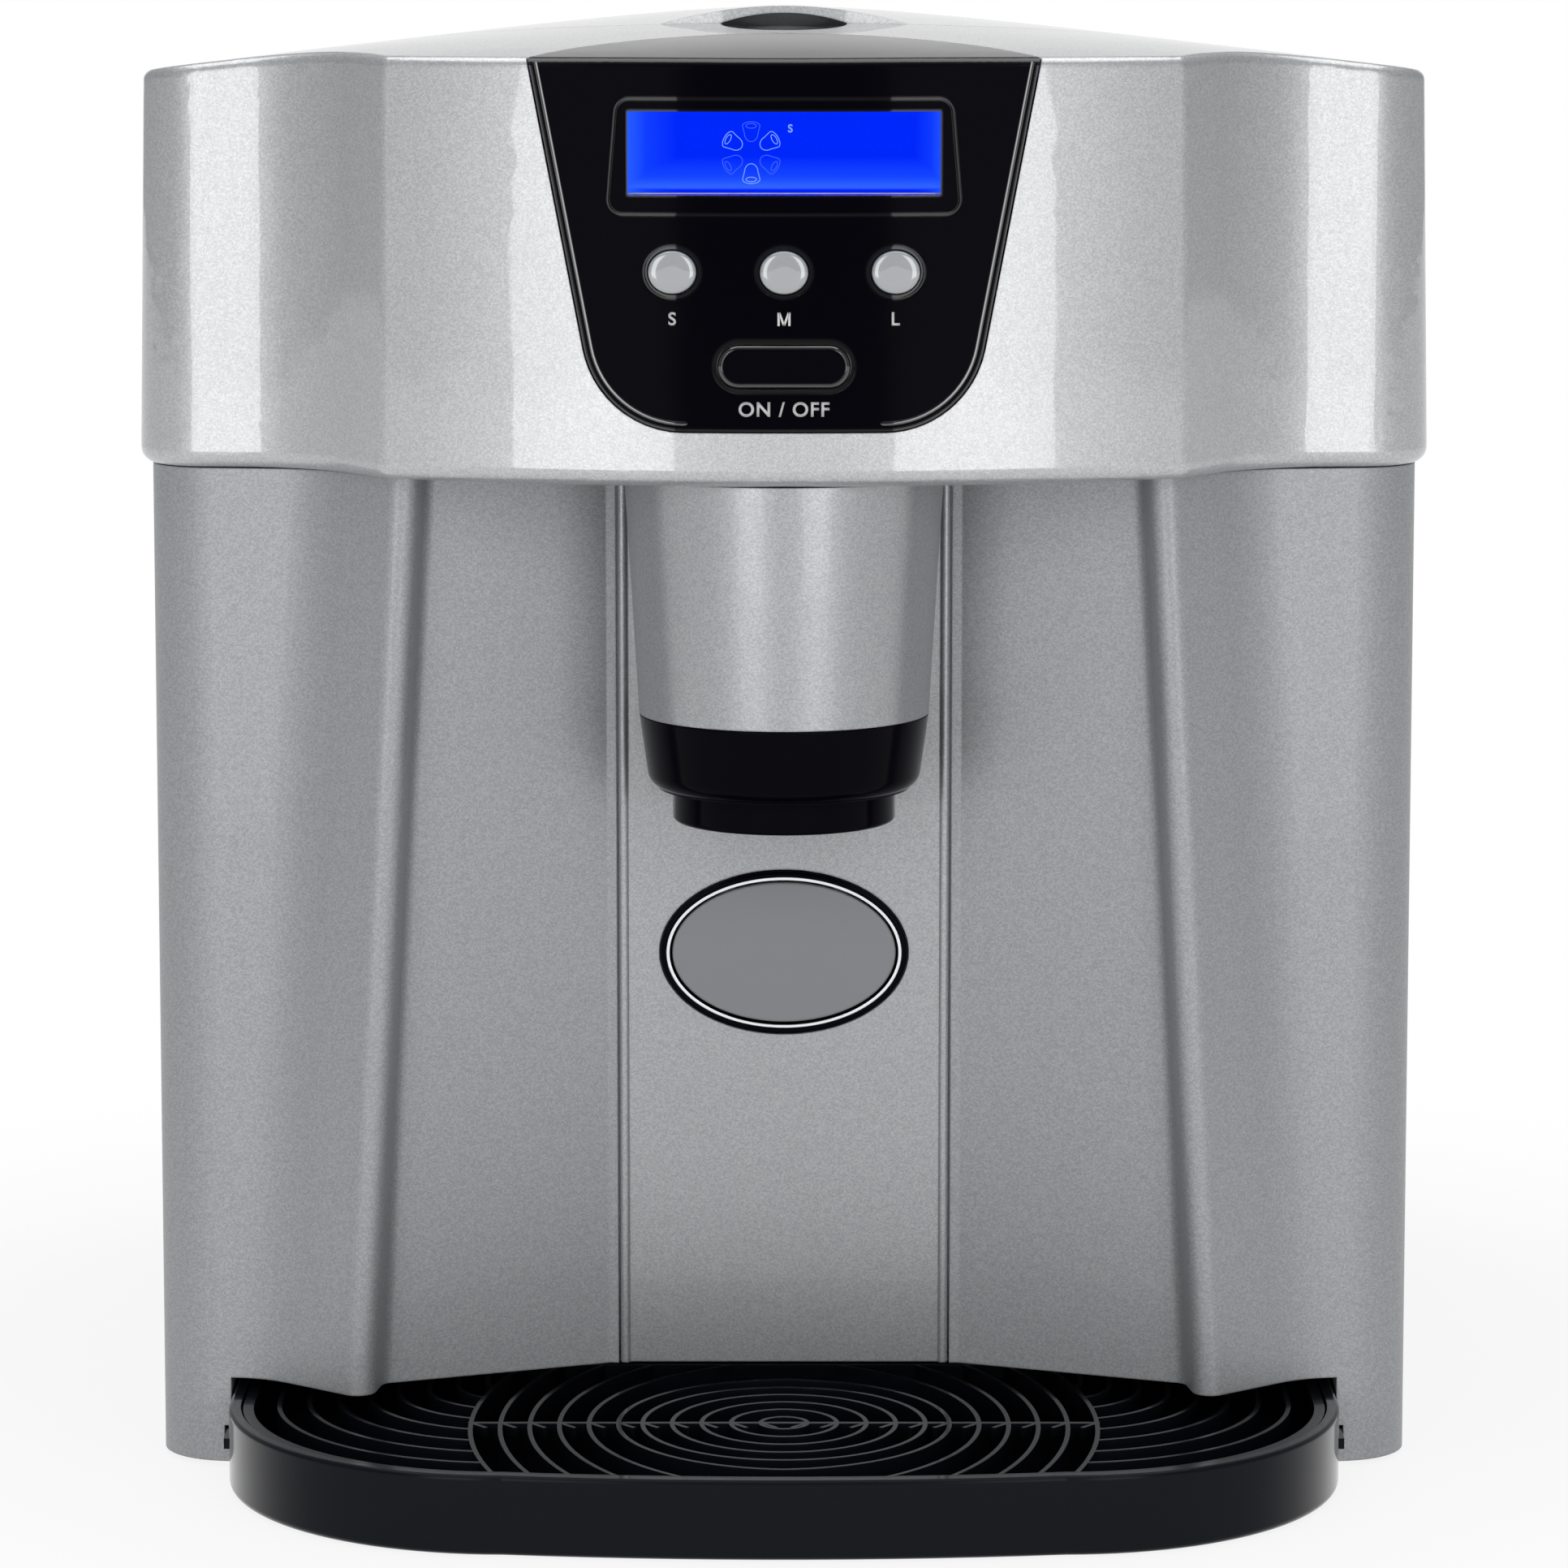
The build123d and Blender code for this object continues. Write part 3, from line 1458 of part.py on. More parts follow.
with BuildPart() as ledge_ring:
    high = grille_top - grille_rim_depth
    add(tray_block(high - tray_ledge_thickness, high, tray_wall / 2))
    add(tray_block(high - overrun, high + overrun, tray_wall + tray_ledge), mode=Mode.SUBTRACT)

with BuildPart() as drip_tray:
    add(tray_block(tray_bottom, tray_top, 0))
    fillet(drip_tray.edges().group_by(Axis.Z)[-1], tray_top_edge)
    fillet(drip_tray.edges().group_by(Axis.Z)[0], tray_foot_edge)
    add(tray_block(tray_bottom + tray_floor, tray_top + overrun, tray_lip), mode=Mode.SUBTRACT)
    add(tray_block(tray_bottom + tray_floor, tray_top - tray_lip_height, tray_wall), mode=Mode.SUBTRACT)
    add(ledge_ring.part)
    reach = tray_half_width + tray_runner
    inner = tray_half_width - tray_wall / 2
    mirrored_slab(inner, reach, -tray_runner_front, -tray_back, runner_low, runner_high)
save(drip_tray.part, "drip_tray")


def rib_paths():
    """Centre and radius of each rib on the right, round ones first."""
    ribs = [(0, rib_first_radius + rib_pitch * index) for index in range(rib_round_count)]
    for index in range(rib_arc_count):
        radius = rib_outer_first_radius + rib_arc_growth * index
        ribs.append((rib_outer_first_x + rib_pitch * index - radius, radius))
    return ribs


def grille_ribs():
    """Ribs of the right half of the grille."""
    half = grille_rib / 2
    low = grille_top - grille_depth
    with BuildPart() as ribs:
        for centre, radius in rib_paths():
            with BuildSketch(Plane.XY.offset(low)) as ring:
                with Locations((centre, -grille_bar_front)):
                    Circle(radius + half)
                    Circle(radius - half, mode=Mode.SUBTRACT)
                with Locations((tray_half_width / 2, -grille_bar_front)):
                    Rectangle(tray_half_width, tray_front, mode=Mode.INTERSECT)
            extrude(ring.sketch, amount=grille_depth)
    return ribs.part


def grille_slats():
    """Slats of the right half of the grille, round the ribs."""
    last_centre, last_radius = rib_paths()[-1]
    with BuildPart() as slats:
        for index in range(slat_count):
            radius = slat_first_radius - slat_shrink * index
            middle = -(slat_first_front - slat_pitch * index) + radius
            with BuildSketch(Plane.XY.offset(grille_top - slat_depth)) as slat:
                with Locations((slat_centre_x, middle)):
                    Circle(radius + grille_rib / 2)
                    Circle(radius - grille_rib / 2, mode=Mode.SUBTRACT)
                side = radius / 2 + grille_rib
                with Locations((slat_centre_x + side, middle - side)):
                    Rectangle(radius + 2 * grille_rib, radius + 2 * grille_rib, mode=Mode.INTERSECT)
                long = -tray_back - middle
                with Locations((slat_centre_x + radius, middle + long / 2)):
                    Rectangle(grille_rib, long)
                with Locations((last_centre, -grille_bar_front)):
                    Circle(last_radius, mode=Mode.SUBTRACT)
            extrude(slat.sketch, amount=slat_depth)
    return slats.part


with BuildPart() as grille_frame:
    add(tray_block(grille_top - grille_rim_depth, grille_top, grille_inset))
    low = grille_top - grille_rim_depth - overrun
    add(tray_block(low, grille_top + overrun, grille_inset + grille_rim), mode=Mode.SUBTRACT)

with BuildPart() as drip_grille:
    low = grille_top - grille_depth
    ribs = grille_ribs()
    slats = grille_slats()
    add(ribs)
    add(slats)
    add(mirror(ribs, about=Plane.YZ))
    add(mirror(slats, about=Plane.YZ))
    reach = rib_outer_first_x + rib_pitch * (rib_arc_count - 1)
    bar_half = grille_bar / 2
    slab(-reach, reach, -grille_bar_front - bar_half, bar_half - grille_bar_front, low, grille_top)
    add(tray_block(low - overrun, grille_top + overrun, grille_inset + grille_clip), mode=Mode.INTERSECT)
    add(grille_frame.part)
    # Short gussets on the front of the bar at each rib
    for index in range(rib_arc_count + rib_round_count):
        centre, radius = rib_paths()[index]
        for way in (1, -1):
            with BuildSketch(Plane.XY.offset(grille_top - gusset_depth)) as gusset:
                middle = gusset_length / 2
                turn = radians(gusset_angle)
                x = way * (centre + radius - middle * cos(turn))
                place = (x, -grille_bar_front - middle * sin(turn), 0)
                with Locations(Location(place, (0, 0, way * gusset_angle))):
                    Rectangle(gusset_length + grille_bar, grille_rib)
            extrude(gusset.sketch, amount=gusset_depth)
save(drip_grille.part, "drip_grille")


# Ice bin, auger and their drive
def bin_solid(inset, top):
    """Outer shape of the ice bin when inset is nothing, and its inside when inset is its wall."""
    front = bin_front - inset
    back = bin_back - inset
    half = bin_half_width - inset
    throat = bin_throat + inset
    trough = trough_radius + bin_wall - inset
    with BuildPart() as solid:
        slab(-half, half, -front, back, throat, top)
        add(bridge(auger_height + inset, throat, trough, half, front, back))
        rod(trough, (0, -front, auger_height), (0, back, auger_height))
    return solid.part


with BuildPart() as ice_bin:
    add(bin_solid(0, bin_top))
    flange = bin_half_width + bin_flange
    low = bin_top - bin_flange_thickness
    slab(-flange, flange, -bin_front, bin_back, low, bin_top)
    add(bin_solid(bin_wall, bin_top + overrun), mode=Mode.SUBTRACT)
    start = (0, -bin_front - overrun, auger_height)
    rod(trough_radius, start, (0, 0, auger_height), mode=Mode.SUBTRACT)
    start = (0, 0, auger_height)
    rod(auger_shaft + fit_gap, start, (0, bin_back + overrun, auger_height), mode=Mode.SUBTRACT)
    half = bin_window_half_width
    front = bin_back - 2 * bin_wall
    back = bin_back + overrun
    slab(-half, half, front, back, bin_window_bottom, bin_window_top, mode=Mode.SUBTRACT)
save(ice_bin.part, "ice_bin")

with BuildPart() as bin_foam:
    start = bin_half_width + fit_gap
    high = bin_top - bin_flange_thickness - fit_gap
    mirrored_slab(start, start + foam, -bin_front, bin_back, bin_throat, high)
save(bin_foam.part, "bin_foam")

with BuildPart() as ice_sensor:
    inner = bin_half_width - bin_wall
    front = -sensor_front
    high = sensor_height + sensor_width
    mirrored_slab(inner - sensor_depth, inner, front, front + sensor_width, sensor_height, high)
save(ice_sensor.part, "ice_sensor")

with BuildPart() as auger:
    rod(auger_shaft, (0, -auger_front, auger_height), (0, auger_back, auger_height))
    wind = auger_radius - auger_flight
    long = auger_pitch * auger_turns
    hub_back = bin_back - bin_wall - slide_gap
    start = hub_back - auger_hub / 2 - long
    add(Pos(0, start, auger_height) * Rot(-90, 0, 0) * coil(auger_pitch, auger_turns, wind, auger_flight))
    rod(auger_radius, (0, hub_back - auger_hub, auger_height), (0, hub_back, auger_height))
    rod(auger_flight, (0, start, auger_height), (wind, start, auger_height))
    low = auger_height - auger_radius
    slab(-auger_radius, auger_radius, hub_back, bin_back, low, low + 2 * auger_radius, mode=Mode.SUBTRACT)
    rod(auger_shaft, (0, hub_back - auger_hub, auger_height), (0, auger_back, auger_height))
save(auger.part, "auger")

with BuildPart() as auger_motor:
    front = bin_back + fit_gap
    rod(auger_motor_radius, (0, front, auger_height), (0, front + auger_motor_length, auger_height))
    fillet(auger_motor.edges().group_by(Axis.Y)[-1], hinge_radius)
    end = (0, auger_back + slide_gap, auger_height)
    rod(auger_shaft + run_gap, (0, front - overrun, auger_height), end, mode=Mode.SUBTRACT)
save(auger_motor.part, "auger_motor")

with BuildPart() as support_frame:
    low = frame_top - frame_plate
    slab(-frame_half_width, frame_half_width, -frame_front, frame_back, low, frame_top)
    upright = support_frame.edges().filter_by(Axis.Z).sort_by(Axis.Y)
    fillet(upright[-2:], pan_corner)
    half = frame_leg / 2
    for y in (-frame_leg_front, frame_leg_back - half):
        foot = pan_bottom + pan_plate
        head = frame_top - frame_plate / 2
        mirrored_slab(frame_leg_x - half, frame_leg_x + half, y - half, y + half, foot, head)
    grown = bin_solid(-fit_gap, bin_throat)
    for y in saddle_places:
        wide = trough_radius + 2 * saddle
        slab(-wide, wide, y - saddle / 2, y + saddle / 2, frame_top - frame_plate, auger_height - saddle)
    add(grown, mode=Mode.SUBTRACT)
    over = overrun + frame_plate
    for x, y, hole in (
        (hose_x, pump_depth / 2 - pump_front, hose_radius),
        (line_outer, line_back, tube_radius),
        (-line_outer, line_back, tube_radius),
        (0, -return_front, hose_radius),
    ):
        rod(hole + 2 * fit_gap, (x, y, frame_top - over), (x, y, frame_top + overrun), mode=Mode.SUBTRACT)
save(support_frame.part, "support_frame")

# Ice making unit
with BuildPart() as ice_unit_frame:
    inner = plate_x - plate_thickness
    mirrored_slab(inner, plate_x, plate_front, plate_back, frame_top, plate_top)
    slab(-inner, inner, plate_back - plate_thickness, plate_back, bin_window_top, plate_top)
    high = top_plate_low + plate_thickness
    slab(-inner, inner, top_plate_front, top_plate_back, top_plate_low, high)
    reach = plate_x + overrun
    start = (-reach, pivot_back, pivot_height)
    rod(pivot_radius + run_gap, start, (reach, pivot_back, pivot_height), mode=Mode.SUBTRACT)
    start = (0, hose_back, hose_high)
    rod(hose_radius + 2 * fit_gap, start, (reach, hose_back, hose_high), mode=Mode.SUBTRACT)
    for way in (1, -1):
        start = (way * line_x, line_back, top_plate_low - overrun)
        end = (way * line_x, line_back, high + overrun)
        rod(tube_radius + 2 * fit_gap, start, end, mode=Mode.SUBTRACT)
save(ice_unit_frame.part, "ice_unit_frame")

with BuildPart() as water_tray:
    half = water_tray_half_width
    slab(-half, half, water_tray_front, water_tray_back, water_tray_bottom, water_tray_top)
    fillet(water_tray.edges().group_by(Axis.Z)[0], tank_edge)
    inner = half - water_tray_wall
    low = water_tray_bottom + water_tray_wall
    high = water_tray_top + overrun
    front = water_tray_front + water_tray_wall
    slab(-inner, inner, front, water_tray_back - water_tray_wall, low, high, mode=Mode.SUBTRACT)
    front = water_tray_arm_front
    back = water_tray_arm_back
    mirrored_slab(inner, half, front, back, water_tray_arm_low, water_tray_arm_high)
    for way in (1, -1):
        start = (way * inner, pivot_back, pivot_height)
        rod(pivot_radius, start, (way * pivot_reach, pivot_back, pivot_height))
save(water_tray.part, "water_tray")

with BuildPart() as tray_motor:
    start = (pivot_reach + fit_gap, pivot_back, pivot_height)
    end = (pivot_reach + fit_gap + tray_motor_length, pivot_back, pivot_height)
    rod(tray_motor_radius, start, end)
    fillet(tray_motor.edges().group_by(Axis.X)[-1], hinge_radius)
save(tray_motor.part, "tray_motor")

with BuildPart() as evaporator:
    half = evaporator_half_width
    high = evaporator_bottom + evaporator_height
    slab(-half, half, evaporator_front, evaporator_back, evaporator_bottom, high)
    fillet(evaporator.edges().filter_by(Axis.Z), tank_edge)
    long = evaporator_bottom - finger_bottom
    for y, count in zip(finger_rows, finger_counts):
        for index in range(count):
            x = (index - (count - 1) / 2) * finger_pitch
            with Locations((x, y, (evaporator_bottom + finger_bottom) / 2)):
                Cone(finger_tip_radius, finger_radius, long)
save(evaporator.part, "evaporator")

with BuildPart() as ice_ramp:
    with BuildSketch(Plane.YZ.offset(fit_gap + plate_thickness - plate_x)):
        with BuildLine():
            Polyline(
                (ramp_front, ramp_front_height),
                (ramp_back, ramp_back_height),
                (ramp_back, ramp_back_height + ramp_thickness),
                (ramp_front, ramp_front_height + ramp_thickness),
                close=True,
            )
        make_face()
    extrude(amount=2 * (plate_x - plate_thickness - fit_gap))
save(ice_ramp.part, "ice_ramp")

# Compressor, condenser and fan
compressor_top = compressor_bottom + compressor_height
spigot_top = compressor_top + tube_radius
spigot_places = ((line_outer, line_back), (line_second_x, line_second_back))

with BuildPart() as compressor:
    start = (compressor_x, compressor_back, compressor_bottom)
    rod(compressor_radius, start, (compressor_x, compressor_back, compressor_top))
    fillet(compressor.edges().group_by(Axis.Z)[-1], compressor_dome)
    fillet(compressor.edges().group_by(Axis.Z)[0], compressor_foot_edge)
    wide, deep = compressor_plate_half_width, compressor_plate_half_depth
    low = compressor_bottom - compressor_plate
    slab(
        compressor_x - wide,
        compressor_x + wide,
        compressor_back - deep,
        compressor_back + deep,
        low,
        compressor_bottom,
    )
    box_left, box_right, box_front, box_low, box_high = compressor_box
    slab(box_left, box_right, box_front, compressor_back, box_low, box_high)
    for x, y in spigot_places:
        rod(compressor_spigot, (x, y, compressor_back), (x, y, spigot_top))
save(compressor.part, "compressor")

with BuildPart() as compressor_mounts:
    for x in (-mount_x, mount_x):
        for y in (-mount_y, mount_y):
            place = (compressor_x + x, compressor_back + y)
            low = pan_bottom + pan_plate
            high = compressor_bottom - compressor_plate
            rod(mount_radius, (*place, low), (*place, high))
save(compressor_mounts.part, "compressor_mounts")

with BuildPart() as condenser:
    outer = condenser_x + condenser_depth / 2
    inner = condenser_x - condenser_depth / 2
    deep = condenser_back - condenser_front
    count = int(deep / condenser_fin_pitch)
    for index in range(count + 1):
        front = condenser_front + index * condenser_fin_pitch
        if front + condenser_fin <= condenser_back:
            slab(-outer, -inner, front, front + condenser_fin, condenser_bottom, condenser_top)
    tall = condenser_top - condenser_bottom
    for row in range(condenser_rows):
        z = condenser_bottom + tall * (row + 1 / 2) / condenser_rows
        rod(condenser_tube, (-condenser_x, condenser_front, z), (-condenser_x, condenser_back, z))
    slab(-outer, -inner, condenser_front, condenser_back, condenser_top - condenser_end, condenser_top)
save(condenser.part, "condenser")

with BuildPart() as fan_shroud:
    back_x = shroud_x - shroud_plate
    front_x = condenser_x - condenser_depth / 2 - fit_gap
    slab(-front_x, -back_x, condenser_front, condenser_back, condenser_bottom, condenser_top)
    slab(
        -front_x - overrun,
        -shroud_x,
        condenser_front + shroud_plate,
        condenser_back - shroud_plate,
        condenser_bottom + shroud_plate,
        condenser_top - shroud_plate,
        mode=Mode.SUBTRACT,
    )
    start = (-front_x, fan_back, fan_height)
    rod(fan_radius + fan_clear, start, (-back_x + overrun, fan_back, fan_height), mode=Mode.SUBTRACT)
    reach = fan_radius + 2 * fan_clear
    bar = shroud_bar / 2
    end_x = back_x - shroud_bar_back
    slab(-back_x, -end_x, fan_back - reach, fan_back + reach, fan_height - bar, fan_height + bar)
    slab(-back_x, -end_x, fan_back - bar, fan_back + bar, fan_height - reach, fan_height + reach)
    rod(fan_motor_radius + bar, (-back_x, fan_back, fan_height), (-end_x, fan_back, fan_height))
    start = (-back_x - overrun, fan_back, fan_height)
    rod(shroud_hole, start, (0, fan_back, fan_height), mode=Mode.SUBTRACT)
save(fan_shroud.part, "fan_shroud")


def fan_wheel():
    """Hub and blades about the Z axis."""
    with BuildPart() as wheel:
        Cylinder(fan_hub, fan_hub_depth)
        long = fan_radius - fan_hub / 2
        pitch = radians(fan_blade_pitch)
        for index in range(fan_blade_count):
            turn = 2 * pi * index / fan_blade_count
            middle = (fan_radius + fan_hub / 2) / 2
            place = Plane(
                origin=(middle * cos(turn), middle * sin(turn), 0),
                x_dir=(cos(turn), sin(turn), 0),
                z_dir=(-sin(turn) * sin(pitch), cos(turn) * sin(pitch), cos(pitch)),
            )
            with BuildSketch(place) as blade:
                RectangleRounded(long, fan_chord, fan_chord / 4)
            extrude(blade.sketch, amount=fan_blade / 2, both=True)
    return wheel.part


with BuildPart() as fan:
    add(Pos(-fan_x, fan_back, fan_height) * Rot(0, 90, 0) * fan_wheel())
    rod(fan_shaft, (-fan_x, fan_back, fan_height), (-fan_tail, fan_back, fan_height))
save(fan.part, "fan")

with BuildPart() as fan_motor:
    start_x = end_x - fit_gap
    end = (fan_motor_length - start_x, fan_back, fan_height)
    rod(fan_motor_radius, (-start_x, fan_back, fan_height), end)
    fillet(fan_motor.edges().group_by(Axis.X)[-1], tank_edge)
    start = (-start_x - overrun, fan_back, fan_height)
    rod(fan_shaft + run_gap, start, (slide_gap - fan_tail, fan_back, fan_height), mode=Mode.SUBTRACT)
save(fan_motor.part, "fan_motor")


# Tubes and hoses
def pipe(points, radius, bend, bore=0.0):
    """Round tube along a line of points with rounded bends, hollow when a bore is given."""
    with BuildPart() as tube:
        with BuildLine() as path:
            FilletPolyline(*points, radius=bend)
        with BuildSketch(Plane(origin=points[0], z_dir=path.line % 0)):
            Circle(radius)
            if bore:
                Circle(bore, mode=Mode.SUBTRACT)
        sweep(path=path.line)
    return tube.part


evaporator_top = evaporator_bottom + evaporator_height
line_start = spigot_top + fit_gap
line_end = condenser_top + fit_gap

with BuildPart() as refrigerant_lines:
    hot = [(line_outer, line_back, line_start), (line_outer, line_back, line_top)]
    hot += [(line_x, line_back, line_top), (line_x, line_back, evaporator_top + fit_gap)]
    add(pipe(hot, tube_radius, tube_bend / 2))
    back_line = [(-line_x, line_back, evaporator_top + fit_gap), (-line_x, line_back, line_top)]
    back_line += [(-line_outer, line_back, line_top), (-line_outer, line_back, line_low)]
    back_line += [(-condenser_x, line_back, line_low), (-condenser_x, line_back, line_end)]
    add(pipe(back_line, tube_radius, tube_bend / 2))
    side = [(line_second_x, line_second_back, line_start), (line_second_x, line_second_back, line_low)]
    side += [(-condenser_x, line_second_back, line_low), (-condenser_x, line_second_back, line_end)]
    add(pipe(side, tube_radius, tube_bend / 2))
save(refrigerant_lines.part, "refrigerant_lines")

with BuildPart() as filter_drier:
    place = (-line_outer, line_back)
    high = drier_bottom + drier_length
    rod(drier_radius, (*place, drier_bottom), (*place, high))
    chamfer(filter_drier.edges().group_by(Axis.Z)[0], drier_taper, drier_taper / 2)
    chamfer(filter_drier.edges().group_by(Axis.Z)[-1], drier_taper, drier_taper / 2)
    start = (*place, drier_bottom - overrun)
    rod(tube_radius + 2 * run_gap, start, (*place, high + overrun), mode=Mode.SUBTRACT)
save(filter_drier.part, "filter_drier")

with BuildPart() as gas_valve:
    half = valve_size / 2
    high = valve_bottom + valve_tall
    slab(line_outer - half, line_outer + half, line_back - half, line_back + half, valve_bottom, high)
    middle = valve_bottom + valve_tall / 2
    start = (line_outer, line_back + half / 2, middle)
    rod(valve_coil / 2, start, (line_outer, line_back + half + valve_coil, middle))
    place = (line_outer, line_back)
    start = (*place, valve_bottom - overrun)
    rod(tube_radius + 2 * run_gap, start, (*place, high + overrun), mode=Mode.SUBTRACT)
save(gas_valve.part, "gas_valve")

# Water circuit
tank_top = tank_bottom + tank_height
pump_middle = pump_depth / 2 - pump_front
neck_place = (-tank_neck_x, -tank_neck_front)

with BuildPart() as water_tank:
    slab(-tank_left, tank_right, -tank_front, tank_back, tank_bottom, tank_top)
    fillet(water_tank.edges().filter_by(Axis.Z), tank_edge)
    rod(tank_neck_radius, (*neck_place, tank_top - tank_wall), (*neck_place, tank_top + tank_neck_height))
    slab(
        tank_wall - tank_left,
        tank_right - tank_wall,
        tank_wall - tank_front,
        tank_back - tank_wall,
        tank_bottom + tank_wall,
        tank_top - tank_wall,
        mode=Mode.SUBTRACT,
    )
    start = (*neck_place, tank_top - overrun)
    end = (*neck_place, tank_top + tank_neck_height + overrun)
    rod(tank_neck_radius - tank_wall, start, end, mode=Mode.SUBTRACT)
    start = (tank_right - overrun, pump_middle, spigot_height)
    rod(hose_bore, start, (tank_right + overrun, pump_middle, spigot_height), mode=Mode.SUBTRACT)
    start = (drain_x, tank_back - overrun, drain_height)
    rod(drain_bore, start, (drain_x, tank_back + overrun, drain_height), mode=Mode.SUBTRACT)
save(water_tank.part, "water_tank")

pump_top = pump_bottom + pump_height

with BuildPart() as water_pump:
    half = pump_width / 2
    case_top = pump_bottom + pump_case
    slab(pump_x - half, pump_x + half, -pump_front, pump_depth - pump_front, pump_bottom, case_top)
    fillet(water_pump.edges().filter_by(Axis.Z), tank_edge)
    rod(pump_rotor, (pump_x, pump_middle, case_top - pan_plate), (pump_x, pump_middle, pump_top))
    fillet(water_pump.edges().group_by(Axis.Z)[-1], hinge_radius)
    start = (pump_x, pump_middle, pump_top - hinge_radius)
    rod(pump_spigot, start, (pump_x, pump_middle, pump_top + overrun))
    start = (pump_x - half + hinge_radius, pump_middle, spigot_height)
    rod(hose_radius, start, (tank_right + fit_gap, pump_middle, spigot_height))
save(water_pump.part, "water_pump")

with BuildPart() as water_hoses:
    rise = [(pump_x, pump_middle, pump_top + fit_gap), (pump_x, pump_middle, hose_low)]
    rise += [(hose_x, pump_middle, hose_low), (hose_x, pump_middle, hose_high)]
    rise += [(hose_x, hose_back, hose_high), (hose_end, hose_back, hose_high)]
    add(pipe(rise, hose_radius, hose_bend, hose_bore))
    fall = [(0, -return_front, return_top), (0, -return_front, return_low)]
    fall += [(-tank_neck_x, -return_front, return_low), (-tank_neck_x, -return_front, return_end)]
    add(pipe(fall, hose_radius, hose_bend, hose_bore))
save(water_hoses.part, "water_hoses")

cap_front = rear_face_y - recess_depth / 2 - recess_wall

with BuildPart() as drain_pipe:
    end = (drain_x, cap_front + cap_length / 2, drain_height)
    rod(drain_radius, (drain_x, tank_back, drain_height), end)
    start = (drain_x, tank_back - overrun, drain_height)
    rod(drain_bore, start, (drain_x, cap_front + cap_length, drain_height), mode=Mode.SUBTRACT)
save(drain_pipe.part, "drain_pipe")

with BuildPart() as drain_cap:
    start = (drain_x, cap_front, drain_height)
    rod(cap_radius, start, (drain_x, cap_front + cap_length, drain_height))
    fillet(drain_cap.edges().group_by(Axis.Y)[-1], hinge_radius)
    end = (drain_x, cap_front + cap_length / 2 + fit_gap, drain_height)
    rod(drain_radius + run_gap, (drain_x, cap_front - overrun, drain_height), end, mode=Mode.SUBTRACT)
save(drain_cap.part, "drain_cap")

# Electrics
with BuildPart() as power_inlet:
    half = inlet_width / 2
    tall = inlet_tall / 2
    back = rear_face_y + rear_plate - fit_gap / 2
    low, high = inlet_height - tall, inlet_height + tall
    slab(inlet_x - half, inlet_x + half, back - inlet_depth, back, low, high)
    fillet(power_inlet.edges().filter_by(Axis.Y), hinge_radius)
    flange_back = rear_face_y - fit_gap / 2
    wide = half + inlet_flange
    margin = tank_edge
    slab(
        inlet_x - wide,
        inlet_x + wide,
        flange_back - inlet_flange_thickness,
        flange_back,
        low - margin,
        high + margin,
    )
    wall = inlet_socket_wall
    slab(
        inlet_x - half + wall,
        inlet_x + half - wall,
        back - inlet_socket,
        back + overrun,
        low + wall,
        high - wall,
        mode=Mode.SUBTRACT,
    )
    for x, z in ((-inlet_pin, -inlet_pin_thick), (0, inlet_pin_thick), (inlet_pin, -inlet_pin_thick)):
        wide = inlet_pin_thick / 2
        deep = inlet_pin_wide / 2
        slab(
            inlet_x + x - wide,
            inlet_x + x + wide,
            back - inlet_socket - wall / 2,
            back - inlet_socket + inlet_pin_length,
            inlet_height + z - deep,
            inlet_height + z + deep,
        )
save(power_inlet.part, "power_inlet")

board_parts = (
    (-24.0, -8.0, 78.0, 96.0, 14.0),
    (2.0, 22.0, 80.0, 100.0, 18.0),
    (-22.0, 10.0, 112.0, 124.0, 9.0),
    (14.0, 24.0, 114.0, 136.0, 12.0),
    (-24.0, 20.0, 144.0, 154.0, 10.0),
)  # front, back, bottom, top and height of each component on the board

with BuildPart() as main_board:
    inner = main_board_x - main_board_thickness
    slab(inner, main_board_x, -main_board_front, main_board_back, main_board_bottom, main_board_top)
    for front, back, low, high, tall in board_parts:
        slab(inner - tall, main_board_x - main_board_thickness / 2, front, back, low, high)
    wall = body_half_width - body_wall - fit_gap
    for y in (board_post_inset - main_board_front, main_board_back - board_post_inset):
        for z in (main_board_bottom + board_post_inset, main_board_top - board_post_inset):
            rod(board_post, (inner + main_board_thickness / 2, y, z), (wall, y, z))
save(main_board.part, "main_board")
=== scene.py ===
"""Looks of the counter-top ice cube maker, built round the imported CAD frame. Metres."""

import json
import math

import bpy
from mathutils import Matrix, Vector


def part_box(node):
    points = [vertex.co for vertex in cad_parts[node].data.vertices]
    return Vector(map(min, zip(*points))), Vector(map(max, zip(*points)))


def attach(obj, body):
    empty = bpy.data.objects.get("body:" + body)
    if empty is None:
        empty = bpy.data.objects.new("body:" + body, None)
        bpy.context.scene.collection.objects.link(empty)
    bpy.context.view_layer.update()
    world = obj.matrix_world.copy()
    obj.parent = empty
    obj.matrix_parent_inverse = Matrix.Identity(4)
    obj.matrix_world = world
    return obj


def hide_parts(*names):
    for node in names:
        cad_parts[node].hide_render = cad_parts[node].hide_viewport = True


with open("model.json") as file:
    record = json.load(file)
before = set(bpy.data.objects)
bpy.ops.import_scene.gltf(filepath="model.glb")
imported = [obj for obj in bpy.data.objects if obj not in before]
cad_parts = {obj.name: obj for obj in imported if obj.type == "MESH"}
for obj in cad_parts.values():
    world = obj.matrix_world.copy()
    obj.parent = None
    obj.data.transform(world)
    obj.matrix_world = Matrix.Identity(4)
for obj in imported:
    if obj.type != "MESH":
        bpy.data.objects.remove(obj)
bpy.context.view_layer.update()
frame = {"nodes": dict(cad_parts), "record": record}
nodes = frame["nodes"]
scene = bpy.context.scene
MM = 0.001

